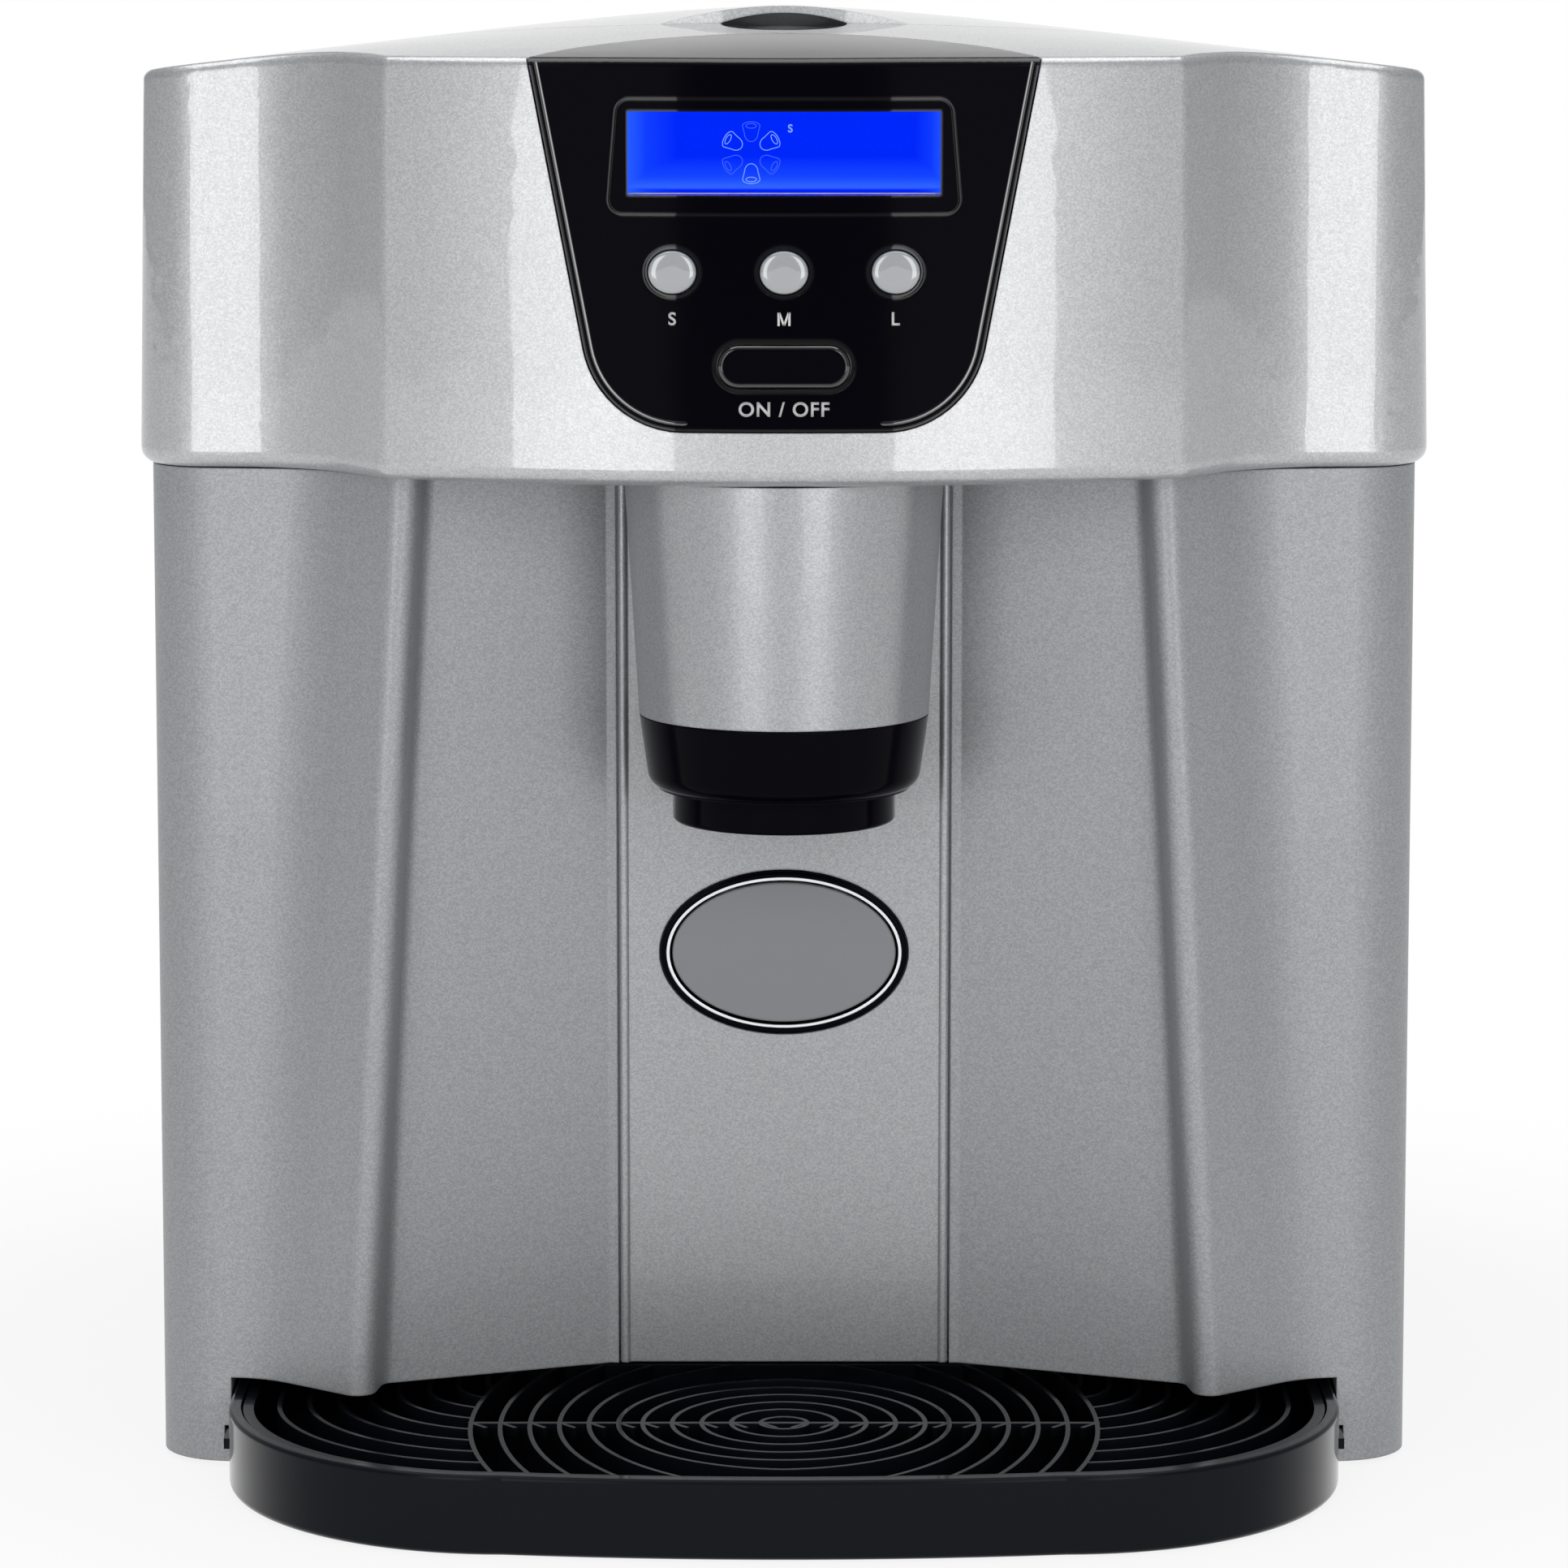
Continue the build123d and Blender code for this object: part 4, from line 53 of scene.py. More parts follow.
# The display's window: half its width, its foot and its top
window_half = 0.042
window_low = 0.3627
window_high = 0.385


# Materials

# Sizes of fine textures, as cells per metre
flake_scale = 2600.0
grain_scale = 1800.0
brush_scale = 1400.0
brush_long_scale = 30.0
spangle_scale = 160.0
track_scale = 220.0

# How far edges look rounded, in millimetres
paint_edge = 0.7
plastic_edge = 0.5
metal_edge = 0.3

flake_contrast = 0.16
flake_roughness = 0.05
spangle_dark = 0.86
brush_depth = 0.05 * MM


def new_material(name):
    """An empty node material with its Principled shader."""
    material = bpy.data.materials.new(name)
    material.use_nodes = True
    tree = material.node_tree
    shader = tree.nodes["Principled BSDF"]
    return material, tree, shader


def soft_edges(tree, shader, radius, under=None):
    """Rounded edges in the shading, with an optional bump under them."""
    bevel = tree.nodes.new("ShaderNodeBevel")
    bevel.samples = 4
    bevel.inputs["Radius"].default_value = radius
    if under is None:
        tree.links.new(bevel.outputs["Normal"], shader.inputs["Normal"])
    else:
        tree.links.new(bevel.outputs["Normal"], under.inputs["Normal"])
        tree.links.new(under.outputs["Normal"], shader.inputs["Normal"])


def object_coordinates(tree):
    """The place on the piece in the shared frame, which a pose carries along."""
    return tree.nodes.new("ShaderNodeTexCoord").outputs["Object"]


def ramp(tree, source, stops):
    """Colour ramp over a value; stops are (place, colour)."""
    node = tree.nodes.new("ShaderNodeValToRGB")
    elements = node.color_ramp.elements
    while len(elements) > 1:
        elements.remove(elements[-1])
    elements[0].position, elements[0].color = stops[0][0], (*stops[0][1], 1)
    for place, colour in stops[1:]:
        element = elements.new(place)
        element.color = (*colour, 1)
    tree.links.new(source, node.inputs["Fac"])
    return node.outputs["Color"]


def noise(tree, scale):
    """Fine noise fixed to the piece."""
    node = tree.nodes.new("ShaderNodeTexNoise")
    node.inputs["Scale"].default_value = scale
    node.inputs["Detail"].default_value = 3.0
    tree.links.new(object_coordinates(tree), node.inputs["Vector"])
    return node.outputs["Fac"]


def silver_paint(name, colour, roughness, coat, metallic, coat_ior=1.5):
    """Metallic lacquer: fine flakes of slightly different brightness under a clear coat."""
    material, tree, shader = new_material(name)
    cells = tree.nodes.new("ShaderNodeTexVoronoi")
    cells.inputs["Scale"].default_value = flake_scale
    tree.links.new(object_coordinates(tree), cells.inputs["Vector"])
    dark = tuple(part * (1 - flake_contrast) for part in colour)
    light = tuple(part * (1 + flake_contrast) for part in colour)
    split = tree.nodes.new("ShaderNodeSeparateColor")
    tree.links.new(cells.outputs["Color"], split.inputs["Color"])
    shade = ramp(tree, split.outputs["Red"], [(0.0, dark), (0.55, colour), (1.0, light)])
    tree.links.new(shade, shader.inputs["Base Color"])
    rough = tree.nodes.new("ShaderNodeMapRange")
    rough.inputs["To Min"].default_value = roughness - flake_roughness
    rough.inputs["To Max"].default_value = roughness + flake_roughness
    tree.links.new(split.outputs["Green"], rough.inputs["Value"])
    tree.links.new(rough.outputs["Result"], shader.inputs["Roughness"])
    shader.inputs["Metallic"].default_value = metallic
    shader.inputs["Coat Weight"].default_value = coat
    shader.inputs["Coat Roughness"].default_value = 0.04
    shader.inputs["Coat IOR"].default_value = coat_ior
    soft_edges(tree, shader, paint_edge * MM)
    return material


def plastic(name, colour, roughness, specular=0.5, coat=0.0, grain=0.0, metallic=0.0, coat_ior=1.5):
    """Moulded plastic, rubber or paint, with an optional fine grain, given in millimetres."""
    material, tree, shader = new_material(name)
    shader.inputs["Base Color"].default_value = (*colour, 1)
    shader.inputs["Roughness"].default_value = roughness
    shader.inputs["Specular IOR Level"].default_value = specular
    shader.inputs["Metallic"].default_value = metallic
    shader.inputs["Coat Weight"].default_value = coat
    shader.inputs["Coat Roughness"].default_value = 0.03
    shader.inputs["Coat IOR"].default_value = coat_ior
    under = None
    if grain:
        under = tree.nodes.new("ShaderNodeBump")
        under.inputs["Strength"].default_value = 0.25
        under.inputs["Distance"].default_value = grain * MM
        tree.links.new(noise(tree, grain_scale), under.inputs["Height"])
    soft_edges(tree, shader, plastic_edge * MM, under)
    return material


def gloss_black(name, colour, roughness, specular, edge, rim, rim_start, rim_end, rim_ior=1.5):
    """Deep black lacquer, plain when seen straight on, that mirrors at its rounded edges.

    The edge is in millimetres. The rim is how much it mirrors where its surface has turned away.
    """
    material, tree, shader = new_material(name)
    shader.inputs["Base Color"].default_value = (*colour, 1)
    shader.inputs["Roughness"].default_value = roughness
    shader.inputs["Specular IOR Level"].default_value = specular
    shader.inputs["Coat Roughness"].default_value = 0.03
    shader.inputs["Coat IOR"].default_value = rim_ior
    soft_edges(tree, shader, edge * MM)
    turned = tree.nodes.new("ShaderNodeLayerWeight")
    turned.inputs["Blend"].default_value = 0.5
    tree.links.new(shader.inputs["Normal"].links[0].from_socket, turned.inputs["Normal"])
    rise = tree.nodes.new("ShaderNodeMapRange")
    rise.interpolation_type = "SMOOTHSTEP"
    rise.inputs["From Min"].default_value = rim_start
    rise.inputs["From Max"].default_value = rim_end
    rise.inputs["To Max"].default_value = rim
    tree.links.new(turned.outputs["Facing"], rise.inputs["Value"])
    tree.links.new(rise.outputs["Result"], shader.inputs["Coat Weight"])
    return material


def metal(name, colour, roughness, brushed=None, edge=metal_edge):
    """Bare metal; brushed gives the axis along which its fine lines run."""
    material, tree, shader = new_material(name)
    shader.inputs["Base Color"].default_value = (*colour, 1)
    shader.inputs["Metallic"].default_value = 1.0
    shader.inputs["Roughness"].default_value = roughness
    under = None
    if brushed is not None:
        place = tree.nodes.new("ShaderNodeMapping")
        scale = [brush_scale] * 3
        scale["xyz".index(brushed)] = brush_long_scale
        place.inputs["Scale"].default_value = scale
        tree.links.new(object_coordinates(tree), place.inputs["Vector"])
        lines = tree.nodes.new("ShaderNodeTexNoise")
        lines.inputs["Scale"].default_value = 1.0
        lines.inputs["Detail"].default_value = 2.0
        tree.links.new(place.outputs["Vector"], lines.inputs["Vector"])
        under = tree.nodes.new("ShaderNodeBump")
        under.inputs["Strength"].default_value = 0.2
        under.inputs["Distance"].default_value = brush_depth
        tree.links.new(lines.outputs["Fac"], under.inputs["Height"])
    soft_edges(tree, shader, edge * MM, under)
    return material


def sheen_spangle(name, colour, roughness):
    """Zinc plated sheet with faint crystals."""
    material, tree, shader = new_material(name)
    cells = tree.nodes.new("ShaderNodeTexVoronoi")
    cells.inputs["Scale"].default_value = spangle_scale
    tree.links.new(object_coordinates(tree), cells.inputs["Vector"])
    split = tree.nodes.new("ShaderNodeSeparateColor")
    tree.links.new(cells.outputs["Color"], split.inputs["Color"])
    dark = tuple(part * spangle_dark for part in colour)
    shade = ramp(tree, split.outputs["Red"], [(0.0, dark), (1.0, colour)])
    tree.links.new(shade, shader.inputs["Base Color"])
    shader.inputs["Metallic"].default_value = 1.0
    shader.inputs["Roughness"].default_value = roughness
    soft_edges(tree, shader, metal_edge * MM)
    return material


def glow(name, colour):
    """Lit part of the display."""
    material, tree, shader = new_material(name)
    shader.inputs["Base Color"].default_value = (0, 0, 0, 1)
    shader.inputs["Emission Color"].default_value = (*colour, 1)
    shader.inputs["Emission Strength"].default_value = 1.0
    shader.inputs["Roughness"].default_value = 0.6
    shader.inputs["Specular IOR Level"].default_value = 0.0
    return material


def lcd_glow():
    """Blue backlight, lighter towards its ends and its lower edge."""
    material, tree, shader = new_material("lcd_backlight")
    shader.inputs["Base Color"].default_value = (0.0, 0.005, 0.05, 1)
    shader.inputs["Roughness"].default_value = 0.5
    shader.inputs["Specular IOR Level"].default_value = 0.0
    split = tree.nodes.new("ShaderNodeSeparateXYZ")
    tree.links.new(object_coordinates(tree), split.inputs["Vector"])
    across = tree.nodes.new("ShaderNodeMapRange")
    across.inputs["From Min"].default_value = -window_half
    across.inputs["From Max"].default_value = window_half
    tree.links.new(split.outputs["X"], across.inputs["Value"])
    up = tree.nodes.new("ShaderNodeMapRange")
    up.inputs["From Min"].default_value = window_low
    up.inputs["From Max"].default_value = window_high
    tree.links.new(split.outputs["Z"], up.inputs["Value"])
    deep = (0.0, 0.016, 0.93)
    wide = ramp(tree, across.outputs["Result"], [
        (0.0, (0.02, 0.11, 1.0)), (0.06, (0.005, 0.045, 0.97)), (0.16, deep), (0.92, deep),
        (0.97, (0.004, 0.04, 0.96)), (1.0, (0.014, 0.08, 0.98)),
    ])
    tall = ramp(tree, up.outputs["Result"], [
        (0.0, (0.0, 0.008, 0.16)), (0.05, (0.0, 0.01, 0.3)), (0.08, (0.03, 0.13, 1.0)),
        (0.2, (0.008, 0.06, 0.98)), (0.45, deep), (0.9, deep), (1.0, (0.0, 0.02, 0.75)),
    ])
    both = tree.nodes.new("ShaderNodeMix")
    both.data_type = "RGBA"
    both.blend_type = "LIGHTEN"
    both.inputs["Factor"].default_value = 1.0
    tree.links.new(wide, both.inputs["A"])
    tree.links.new(tall, both.inputs["B"])
    tree.links.new(both.outputs["Result"], shader.inputs["Emission Color"])
    shader.inputs["Emission Strength"].default_value = 1.0
    return material


def clear(name, colour, roughness, ior):
    """Clear plastic that light passes through."""
    material, tree, shader = new_material(name)
    shader.inputs["Base Color"].default_value = (*colour, 1)
    shader.inputs["Transmission Weight"].default_value = 1.0
    shader.inputs["Roughness"].default_value = roughness
    shader.inputs["IOR"].default_value = ior
    return material


def milky(name, colour, roughness, depth):
    """Translucent white moulding."""
    material, tree, shader = new_material(name)
    shader.inputs["Base Color"].default_value = (*colour, 1)
    shader.inputs["Roughness"].default_value = roughness
    shader.inputs["Subsurface Weight"].default_value = 0.25
    shader.inputs["Subsurface Radius"].default_value = (depth, depth, depth)
    shader.inputs["Subsurface Scale"].default_value = 1.0
    soft_edges(tree, shader, plastic_edge * MM)
    return material


def circuit(name):
    """Green board with faint copper tracks."""
    material, tree, shader = new_material(name)
    place = tree.nodes.new("ShaderNodeMapping")
    place.inputs["Scale"].default_value = [track_scale] * 3
    tree.links.new(object_coordinates(tree), place.inputs["Vector"])
    bricks = tree.nodes.new("ShaderNodeTexBrick")
    bricks.inputs["Color1"].default_value = (0.012, 0.11, 0.045, 1)
    bricks.inputs["Color2"].default_value = (0.02, 0.15, 0.06, 1)
    bricks.inputs["Mortar"].default_value = (0.05, 0.25, 0.1, 1)
    bricks.inputs["Mortar Size"].default_value = 0.03
    tree.links.new(place.outputs["Vector"], bricks.inputs["Vector"])
    tree.links.new(bricks.outputs["Color"], shader.inputs["Base Color"])
    shader.inputs["Roughness"].default_value = 0.4
    return material


looks = {
    "housing_silver": silver_paint(
        "housing_silver", (0.475, 0.48, 0.49), roughness=0.43, coat=0.75, metallic=0.6, coat_ior=1.75,
    ),
    # The body's silver is the housing's paint, rougher and with less coat; its darker colour is
    # painted shade for the dimmer light on the lower body
    "body_silver_painted_shade": silver_paint(
        "body_silver_painted_shade", (0.35, 0.358, 0.37), roughness=0.51, coat=0.12, metallic=0.46,
    ),
    "panel_silver": silver_paint(
        "panel_silver", (0.38, 0.388, 0.40), roughness=0.38, coat=0.3, metallic=0.6,
    ),
    "rear_grey": plastic("rear_grey", (0.36, 0.37, 0.38), 0.42, grain=0.03, metallic=0.2),
    "zinc": sheen_spangle("zinc", (0.60, 0.61, 0.62), 0.38),
    "steel": metal("steel", (0.62, 0.63, 0.64), 0.22, brushed="y"),
    "screw_steel": metal("screw_steel", (0.55, 0.55, 0.56), 0.28),
    "black_rubber": plastic("black_rubber", (0.012, 0.012, 0.012), 0.75, specular=0.3, grain=0.05),
    "fascia_black": gloss_black(
        "fascia_black", (0.0018, 0.0016, 0.0034), roughness=0.12, specular=0.012,
        edge=1.4, rim=0.65, rim_start=0.06, rim_end=0.2, rim_ior=1.7,
    ),
    "edge_black": gloss_black(
        "edge_black", (0.002, 0.002, 0.004), roughness=0.08, specular=0.4,
        edge=0.1, rim=1.0, rim_start=0.0, rim_end=0.02, rim_ior=1.9,
    ),
    "lens_clear": clear("lens_clear", (0.96, 0.97, 1.0), 0.0, ior=1.06),
    "lcd_blue": lcd_glow(),
    "board_green": circuit("board_green"),
    "button_grey": plastic("button_grey", (0.35, 0.355, 0.37), 0.35, coat=1.0, coat_ior=1.9),
    "button_black": gloss_black(
        "button_black", (0.002, 0.0018, 0.0034), roughness=0.07, specular=0.02,
        edge=0.9, rim=1.0, rim_start=0.01, rim_end=0.07, rim_ior=1.9,
    ),
    "tray_black": gloss_black(
        "tray_black", (0.0045, 0.0055, 0.0085), roughness=0.2, specular=0.1,
        edge=0.8, rim=0.6, rim_start=0.3, rim_end=0.8,
    ),
    "grille_black": gloss_black(
        "grille_black", (0.004, 0.0048, 0.007), roughness=0.25, specular=0.2,
        edge=0.3, rim=0.4, rim_start=0.5, rim_end=0.9,
    ),
    "nozzle_black": gloss_black(
        "nozzle_black", (0.0018, 0.0016, 0.0035), roughness=0.1, specular=0.03,
        edge=0.7, rim=0.4, rim_start=0.35, rim_end=0.95,
    ),
    "chrome_trim": metal("chrome_trim", (0.82, 0.83, 0.85), 0.06),
    "paddle_grey": plastic("paddle_grey", (0.25, 0.254, 0.268), 0.38, specular=0.4),
    "white_plastic": plastic("white_plastic", (0.74, 0.75, 0.75), 0.38, specular=0.45),
    "grey_plastic": plastic("grey_plastic", (0.22, 0.225, 0.235), 0.45, specular=0.4, grain=0.03),
    "black_plastic": plastic("black_plastic", (0.015, 0.015, 0.017), 0.42, specular=0.4, grain=0.03),
    "foam": plastic("foam", (0.70, 0.69, 0.62), 0.9, specular=0.1, grain=0.4),
    "nickel": metal("nickel", (0.66, 0.65, 0.62), 0.2),
    "compressor_black": plastic("compressor_black", (0.01, 0.01, 0.011), 0.22, coat=0.4),
    "aluminium": metal("aluminium", (0.72, 0.73, 0.74), 0.32, brushed="z"),
    "copper": metal("copper", (0.72, 0.34, 0.19), 0.25, edge=0.2),
    "clear_hose": milky("clear_hose", (0.70, 0.73, 0.72), 0.35, depth=0.002),
    "tank_white": milky("tank_white", (0.70, 0.74, 0.76), 0.35, depth=0.003),
    "print_grey": plastic("print_grey", (0.62, 0.62, 0.62), 0.5),
    "ledge_cream": plastic("ledge_cream", (0.75, 0.72, 0.66), 0.4),
    "lcd_line": glow("lcd_line", (0.22, 0.42, 1.0)),
    "lcd_line_faint": glow("lcd_line_faint", (0.05, 0.14, 1.0)),
}

# Each node wears the look of its slot, but for those that differ in the photograph
slot_of = {part["node"]: part["material_slot"] for part in frame["record"]["subparts"]}
look_of = dict(slot_of)
look_of.update({
    # The body wears the darker copy of the housing's silver, whose darkness is painted shade
    "body_housing": "body_silver_painted_shade",
    "spout_cover": "panel_silver",
    "spout_nozzle": "nozzle_black",
    "drip_grille": "grille_black",
    "paddle_bezel": "nozzle_black",
})

# Faces that meet at more than these angles, in degrees, keep a sharp edge
sharp_angle = 32
dome_sharp_angle = 50


def dress(piece, look):
    """Give a piece this look alone."""
    piece.data.materials.clear()
    piece.data.materials.append(looks[look])


for name, node in nodes.items():
    dress(node, look_of[name])
    node.data.shade_smooth()
    node.data.set_sharp_from_angle(angle=math.radians(sharp_angle))


# Shapes

# The head's bowed front: half its span, its sag, and its lean from the foot of the head upwards
bow_half = 0.110
bow_sag = 0.0225
bow_radius = (bow_half ** 2 + bow_sag ** 2) / (2 * bow_sag)
front_reach = 0.162
front_fall = 0.0025
front_height = 0.114
front_lean = front_fall / front_height
head_foot = 0.2843

# The control fascia's outline on that front, and heights at which its straight sides get a point
fascia_foot = 0.2996
fascia_half = 0.0496
fascia_slope = 0.1942
fascia_corner = 0.027
fascia_crown = 0.398
side_heights = (0.345, 0.36, 0.375, 0.388, fascia_crown)

# How far print and lines stand off what carries them
print_rise = 0.0002
print_thickness = 0.0002
line_rise = 0.00006


def face_front(x, z):
    """How far ahead the head's bowed front lies at this place."""
    bow = bow_radius - math.sqrt(bow_radius ** 2 - x ** 2)
    return front_reach - front_lean * (z - head_foot) - bow


def mesh_piece(name, vertices, faces, look, body, smooth=True):
    """A piece of the looks alone, which rides with this body."""
    data = bpy.data.meshes.new(name)
    data.from_pydata([tuple(v) for v in vertices], [], faces)
    data.update()
    piece = bpy.data.objects.new(name, data)
    scene.collection.objects.link(piece)
    if smooth:
        data.shade_smooth()
    dress(piece, look)
    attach(piece, body)
    return piece


def lettering(name, words, height, place, look, surface, rise=print_rise):
    """Words of this height, drawn large and then laid on a surface that faces forward."""
    curve = bpy.data.curves.new(name, "FONT")
    curve.body = words
    curve.size = 1.0
    curve.offset = 0.02
    curve.space_character = 1.1
    curve.resolution_u = 8
    flat = bpy.data.objects.new(name + "_flat", curve)
    scene.collection.objects.link(flat)
    bpy.context.view_layer.update()
    graph = bpy.context.evaluated_depsgraph_get()
    data = bpy.data.meshes.new_from_object(flat.evaluated_get(graph))
    bpy.data.objects.remove(flat)
    rows = [v.co.y for v in data.vertices]
    columns = [v.co.x for v in data.vertices]
    size = height / (max(rows) - min(rows))
    middle = (max(columns) + min(columns)) / 2, (max(rows) + min(rows)) / 2
    for v in data.vertices:
        x = place[0] + (v.co.x - middle[0]) * size
        z = place[1] + (v.co.y - middle[1]) * size
        v.co = (x, -surface(x, z) - rise, z)
    data.name = name
    piece = bpy.data.objects.new(name, data)
    scene.collection.objects.link(piece)
    thick = piece.modifiers.new("thick", "SOLIDIFY")
    thick.thickness = print_thickness
    thick.offset = 0
    dress(piece, look)
    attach(piece, "housing")


def raised_line(name, points, width, look, body, surface, closed=False, height=0.0):
    """Line along points (x, z) on a surface that faces forward: flat, or rounded to this height."""
    count = len(points)
    steps = 8 if height else 1
    vertices, faces = [], []
    for index, (x, z) in enumerate(points):
        before = points[index - 1] if closed or index else points[index]
        after = points[(index + 1) % count] if closed or index < count - 1 else points[index]
        way = Vector((after[0] - before[0], after[1] - before[1])).normalized()
        for step in range(steps + 1):
            across = 2 * step / steps - 1
            a = x + way.y * across * width / 2
            b = z - way.x * across * width / 2
            vertices.append((a, -surface(a, b) - line_rise - height * (1 - across ** 2), b))
    row = steps + 1
    for index in range(count if closed else count - 1):
        one, two = index * row, (index + 1) % count * row
        for step in range(steps):
            faces.append((one + step, one + step + 1, two + step + 1, two + step))
    return mesh_piece(name, vertices, faces, look, body, smooth=bool(height))


def arc(middle, radius, start, end, steps=16):
    """Points of an arc, angles in degrees; radius is one length or a pair."""
    wide, tall = radius if isinstance(radius, tuple) else (radius, radius)
    turns = [math.radians(start + (end - start) * step / steps) for step in range(steps + 1)]
    return [(middle[0] + wide * math.cos(t), middle[1] + tall * math.sin(t)) for t in turns]


def fascia_edge(inset):
    """The fascia's outline, this far inside its edge, from one top corner down and up to the other."""
    lean = math.degrees(math.atan(fascia_slope))
    low = fascia_foot + inset
    radius = fascia_corner - inset

    def half(z):
        return fascia_half + fascia_slope * (z - fascia_foot) - inset * math.hypot(1, fascia_slope)

    middle = half(low + radius) - radius * math.hypot(1, fascia_slope), low + radius
    right = arc(middle, radius, -90, -lean)
    right += [(half(z), z) for z in side_heights]
    left = [(-x, z) for x, z in reversed(right)]
    return left + right


edge_inset = 0.0021
edge_width = 0.0011
edge_height = 0.00007
raised_line(
    "fascia_edge_roll", fascia_edge(edge_inset), edge_width, "edge_black", "housing", face_front,
    height=edge_height,
)


def stroked_letter(name, strokes, height, weight, place, look):
    """Letter of straight strokes, each from and to a place given as shares of its height."""
    vertices, faces = [], []
    for start, end in strokes:
        for a, b in (start, end):
            for side in (-1, 1):
                x = place[0] + a * height + side * weight / 2
                z = place[1] + b * height
                vertices.append((x, -face_front(x, z) - print_rise, z))
        base = len(vertices) - 4
        faces.append((base, base + 1, base + 3, base + 2))
    mesh_piece(name, vertices, faces, look, "housing", smooth=False)


# The letters under the size buttons and the words under the power button
letter_height = 0.0036
letter_weight = 0.0006
letter_side = 0.030
letter_line = 0.3298
words_height = 0.0040
words_line = 0.3056

# Strokes of the M, as shares of its height
m_strokes = (
    ((-0.40, -0.5), (-0.40, 0.5)), ((-0.36, 0.5), (0.0, -0.5)),
    ((0.0, -0.5), (0.36, 0.5)), ((0.40, 0.5), (0.40, -0.5)),
)
for x, words in ((-letter_side, "S"), (letter_side, "L")):
    lettering("letter_" + words, words, letter_height, (x, letter_line), "print_grey", face_front)
stroked_letter(
    "letter_M", m_strokes, letter_height, letter_weight, (0.0, letter_line), "print_grey",
)
lettering("letters_on_off", "ON / OFF", words_height, (0.0, words_line), "print_grey", face_front)


# The size buttons: half their width and height, how far the edge falls back, and how square it is
button_half = (0.0065, 0.0058)
button_bulge = 0.0017
button_squareness = 4.0


def domed_button(name):
    """Oval button with a nearly flat face and a rounded edge, as deep as its CAD box."""
    low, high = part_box(name)
    x, z = (low.x + high.x) / 2, (low.z + high.z) / 2
    half_width, half_height = button_half
    around, rings = 64, 16
    vertices, faces = [(x, low.y, z)], []
    for ring in range(1, rings + 1):
        share = math.sin(ring / rings * math.pi / 2)
        fall = 1 - (1 - share ** button_squareness) ** (1 / button_squareness)
        for a, b in arc((x, z), (half_width * share, half_height * share), 0, 360, around)[:-1]:
            vertices.append((a, low.y + button_bulge * fall, b))
    for a, b in arc((x, z), (half_width, half_height), 0, 360, around)[:-1]:
        vertices.append((a, high.y, b))
    vertices.append((x, high.y, z))
    end = len(vertices) - 1
    for index in range(around):
        after = (index + 1) % around
        faces.append((0, 1 + index, 1 + after))
        for ring in range(rings):
            base = 1 + ring * around
            faces.append((base + index, base + around + index, base + around + after, base + after))
        faces.append((end - around + index, end, end - around + after))
    piece = mesh_piece(name + "_dome", vertices, faces, "button_grey", name)
    piece.data.set_sharp_from_angle(angle=math.radians(dome_sharp_angle))
    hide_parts(name)


for name in ("button_s", "button_m", "button_l"):
    domed_button(name)


# The display: a ring of six hollow ice pieces, a small letter, and the ledge under its window
display_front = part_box("lcd_display")[0].y


def on_display(x, z):
    """How far ahead the flat display lies, the same at any place."""
    return -display_front


def ice_symbol(name, x, z, turn, size, look):
    """Outline of a hollow bullet of ice: a domed top, a flat oval foot and its bore."""
    wide, tall = 0.5 * size, 0.64 * size
    foot_line = -tall * 0.55
    shape = [(-wide, foot_line), *arc((0, tall * 0.1), (wide * 0.78, tall * 0.75), 180, 0, 12)]
    shape += arc((0, foot_line), (wide, 0.24 * size), 0, -180, 12)[:-1]
    bore = arc((0, foot_line), (0.6 * wide, 0.13 * size), 0, 360, 20)[:-1]
    for part, places in (("edge", shape), ("bore", bore)):
        turned = []
        for a, b in places:
            turned.append((
                x + a * math.cos(turn) - b * math.sin(turn),
                z + a * math.sin(turn) + b * math.cos(turn),
            ))
        raised_line(f"{name}_{part}", turned, symbol_line, look, "housing", on_display, closed=True)


ring_middle = (-0.0088, 0.3738)
ring_radius = 0.0055
symbol_size = 0.0047
symbol_line = 0.0002
lit_pieces = (1, 3, 5)
for index in range(6):
    angle = math.radians(90 + 60 * index)
    ice_symbol(
        f"lcd_ice_{index}",
        ring_middle[0] + ring_radius * math.cos(angle),
        ring_middle[1] + ring_radius * math.sin(angle),
        angle + math.pi / 2,
        symbol_size,
        "lcd_line" if index in lit_pieces else "lcd_line_faint",
    )
small_letter = 0.0022
small_letter_place = (0.0017, 0.3803)
lettering("lcd_letter", "S", small_letter, small_letter_place, "lcd_line", on_display, rise=line_rise)

ledge_width = 0.00032
ledge_line = window_low + 0.0002
ledge = [(-window_half, ledge_line), (window_half, ledge_line)]
raised_line("lcd_ledge", ledge, ledge_width, "ledge_cream", "housing", on_display)


# Studio

def seen_white(tree, share):
    """How much of the plain white backdrop a ray sees: the camera, metal and glass all see it."""
    path = tree.nodes.new("ShaderNodeLightPath")
    seen = path.outputs["Is Camera Ray"]
    for kind in ("Is Glossy Ray", "Is Transmission Ray"):
        either = tree.nodes.new("ShaderNodeMath")
        either.operation = "MAXIMUM"
        tree.links.new(seen, either.inputs[0])
        tree.links.new(path.outputs[kind], either.inputs[1])
        seen = either.outputs["Value"]
    part = tree.nodes.new("ShaderNodeMath")
    part.operation = "MULTIPLY"
    tree.links.new(seen, part.inputs[0])
    tree.links.new(share, part.inputs[1])
    return part.outputs["Value"]


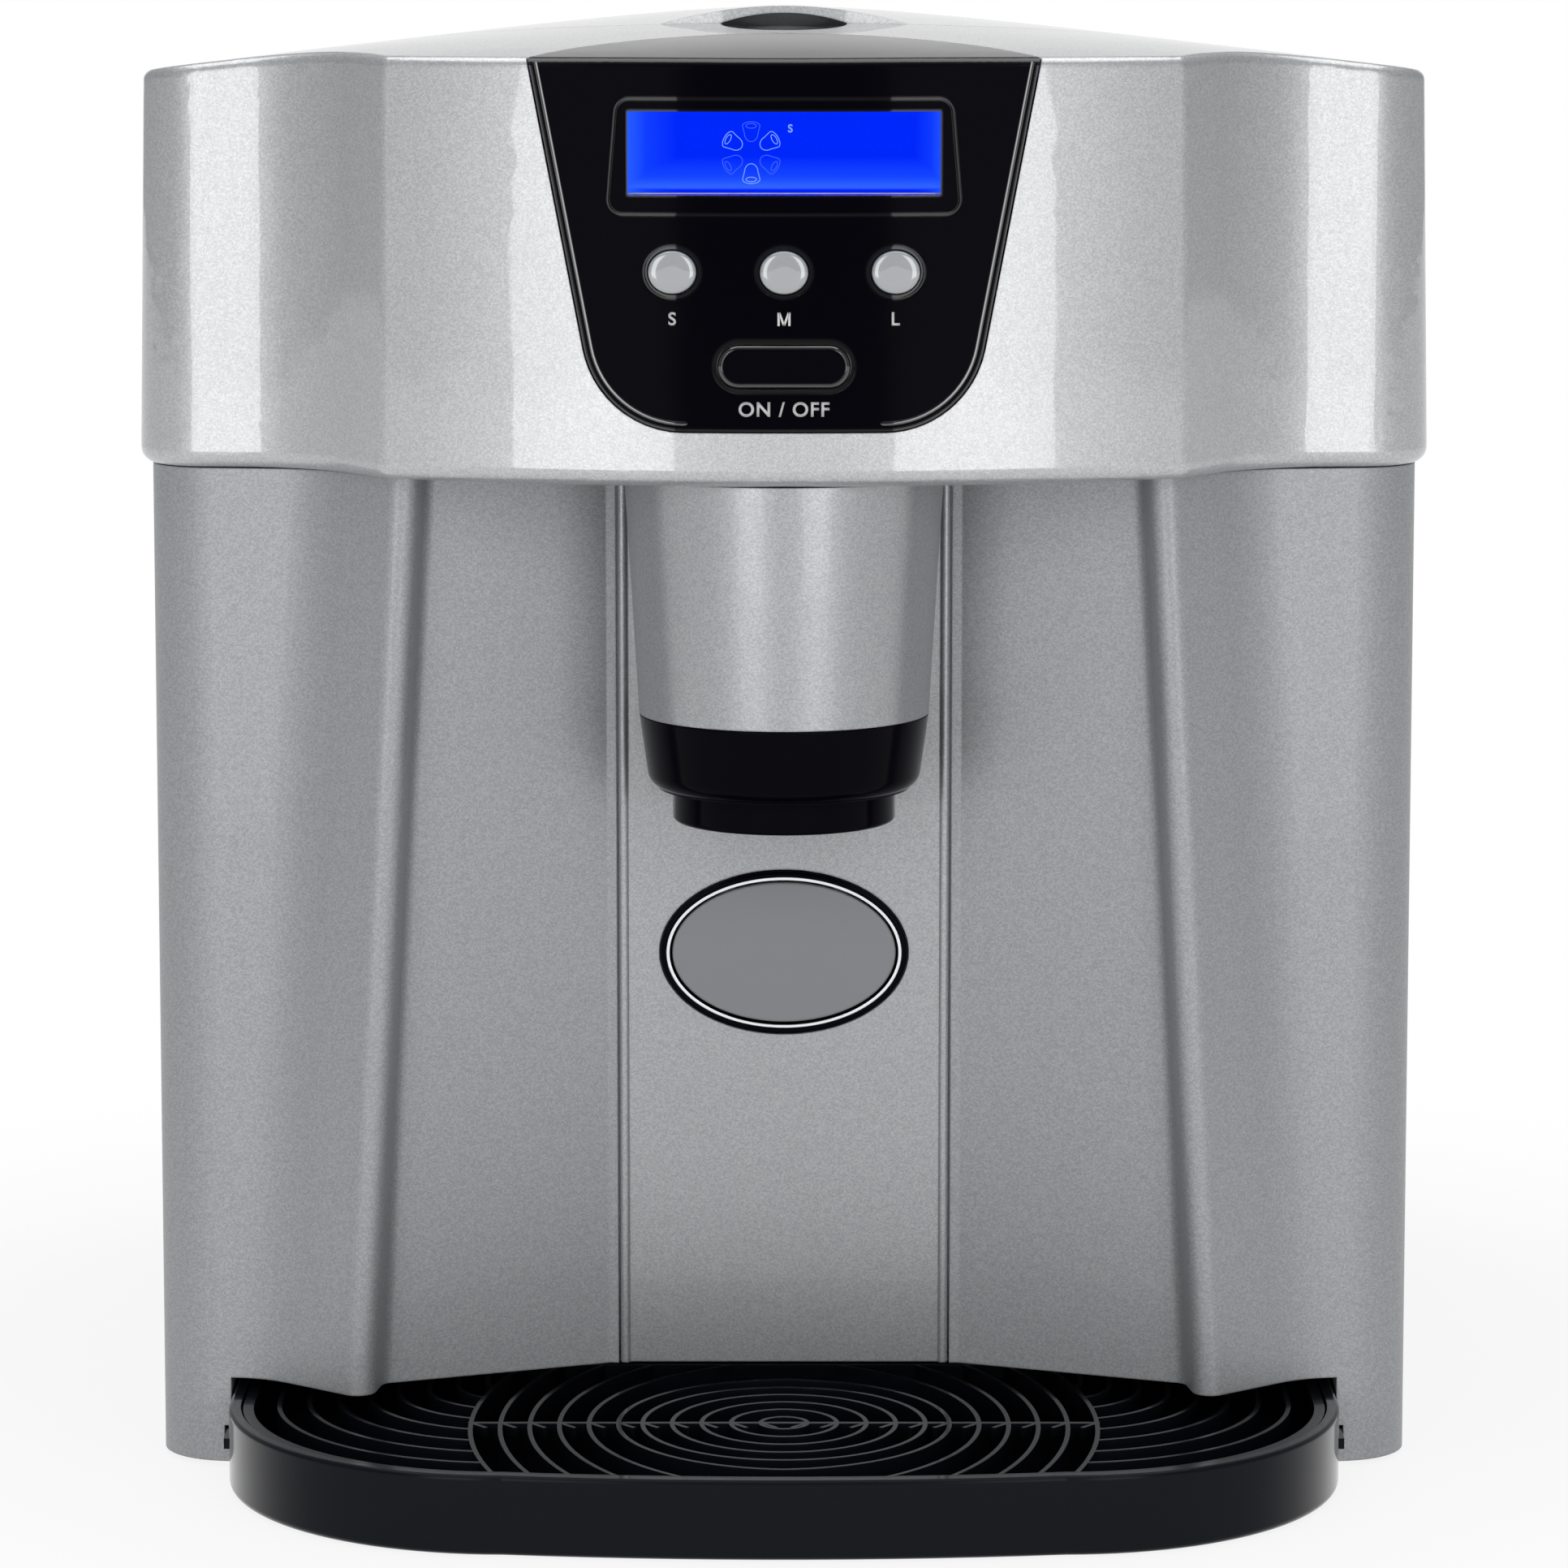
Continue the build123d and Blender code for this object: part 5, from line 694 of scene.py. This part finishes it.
def studio_floor():
    """White floor that keeps the object's soft shadow and fades to plain white farther off."""
    bpy.ops.mesh.primitive_circle_add(vertices=96, radius=floor_radius, fill_type="NGON")
    floor = bpy.context.object
    floor.name = "studio_floor"
    material, tree, shader = new_material("studio_floor")
    shader.inputs["Base Color"].default_value = (0.80, 0.80, 0.80, 1)
    shader.inputs["Roughness"].default_value = 0.8
    shader.inputs["Specular IOR Level"].default_value = 0.1
    away = tree.nodes.new("ShaderNodeVectorMath")
    away.operation = "LENGTH"
    tree.links.new(object_coordinates(tree), away.inputs[0])
    far = tree.nodes.new("ShaderNodeMapRange")
    far.interpolation_type = "SMOOTHSTEP"
    far.inputs["From Min"].default_value = shadow_start
    far.inputs["From Max"].default_value = shadow_end
    far.inputs["To Min"].default_value = shadow_white
    tree.links.new(away.outputs["Value"], far.inputs["Value"])
    part = seen_white(tree, far.outputs["Result"])
    white = tree.nodes.new("ShaderNodeEmission")
    white.inputs["Color"].default_value = (1, 1, 1, 1)
    mix = tree.nodes.new("ShaderNodeMixShader")
    tree.links.new(part, mix.inputs["Fac"])
    tree.links.new(shader.outputs["BSDF"], mix.inputs[1])
    tree.links.new(white.outputs["Emission"], mix.inputs[2])
    tree.links.new(mix.outputs["Shader"], tree.nodes["Material Output"].inputs["Surface"])
    floor.data.materials.append(material)


def studio_world():
    """Grey room with a white backdrop behind the object, which metal and glass see there too."""
    world = bpy.data.worlds.new("studio")
    scene.world = world
    world.use_nodes = True
    tree = world.node_tree
    background = tree.nodes["Background"]
    split = tree.nodes.new("ShaderNodeSeparateXYZ")
    tree.links.new(tree.nodes.new("ShaderNodeTexCoord").outputs["Generated"], split.inputs["Vector"])
    behind = tree.nodes.new("ShaderNodeMapRange")
    behind.interpolation_type = "SMOOTHSTEP"
    behind.inputs["From Min"].default_value = backdrop_edge
    behind.inputs["From Max"].default_value = backdrop_full
    tree.links.new(split.outputs["Y"], behind.inputs["Value"])
    path = tree.nodes.new("ShaderNodeLightPath")
    white = tree.nodes.new("ShaderNodeMath")
    white.operation = "MAXIMUM"
    tree.links.new(path.outputs["Is Camera Ray"], white.inputs[0])
    tree.links.new(seen_white(tree, behind.outputs["Result"]), white.inputs[1])
    tint = tree.nodes.new("ShaderNodeMix")
    tint.data_type = "RGBA"
    tint.inputs["A"].default_value = (*room_grey, 1)
    tint.inputs["B"].default_value = (1, 1, 1, 1)
    tree.links.new(white.outputs["Value"], tint.inputs["Factor"])
    tree.links.new(tint.outputs["Result"], background.inputs["Color"])


# The floor turns white between these distances; the backdrop does where a ray points this far back
floor_radius = 7.0
shadow_start = 0.2
shadow_end = 0.5
shadow_white = 0.86
backdrop_edge = 0.88
backdrop_full = 0.97
room_grey = (0.33, 0.333, 0.34)

studio_floor()
studio_world()


def softbox(name, place, aim, width, height, power):
    """Lamp with a lit rectangle, turned to its aim and unseen by the camera."""
    light = bpy.data.lights.new(name, "AREA")
    light.shape = "RECTANGLE"
    light.size = width
    light.size_y = height
    light.energy = power
    lamp = bpy.data.objects.new(name, light)
    lamp.location = place
    lamp.rotation_euler = (Vector(aim) - Vector(place)).to_track_quat("-Z", "Y").to_euler()
    lamp.visible_camera = False
    scene.collection.objects.link(lamp)


# Two tall softboxes beside the camera and a wide one overhead
side_aside, side_front, side_up = 0.66, -1.60, 0.62
side_box = {"aim": (0, -0.1, 0.26), "width": 0.62, "height": 1.25, "power": 7.2}
softbox("softbox_left", (-side_aside, side_front, side_up), **side_box)
softbox("softbox_right", (side_aside, side_front, side_up), **side_box)

overhead_place = (0, 0.1, 1.9)
overhead_box = {"aim": (0, 0, 0.2), "width": 1.8, "height": 1.4, "power": 20.0}
softbox("overhead", overhead_place, **overhead_box)

# The camera, as fitted to the object's outline: its place, how many degrees it looks down, and
# its focal length as a share of the picture's width
camera_place = (0.0, -1.784, 0.455)
camera_down = 8.80
focal_share = 3.862

camera_data = bpy.data.cameras.new("camera")
camera = bpy.data.objects.new("camera", camera_data)
camera_data.sensor_fit = "HORIZONTAL"
camera_data.sensor_width = 36.0
camera_data.lens = focal_share * camera_data.sensor_width
camera_data.clip_start = 0.05
camera_data.clip_end = 50.0
camera.location = camera_place
camera.rotation_euler = (math.radians(90.0 - camera_down), 0.0, 0.0)
scene.collection.objects.link(camera)
scene.camera = camera

scene.view_settings.view_transform = "Standard"
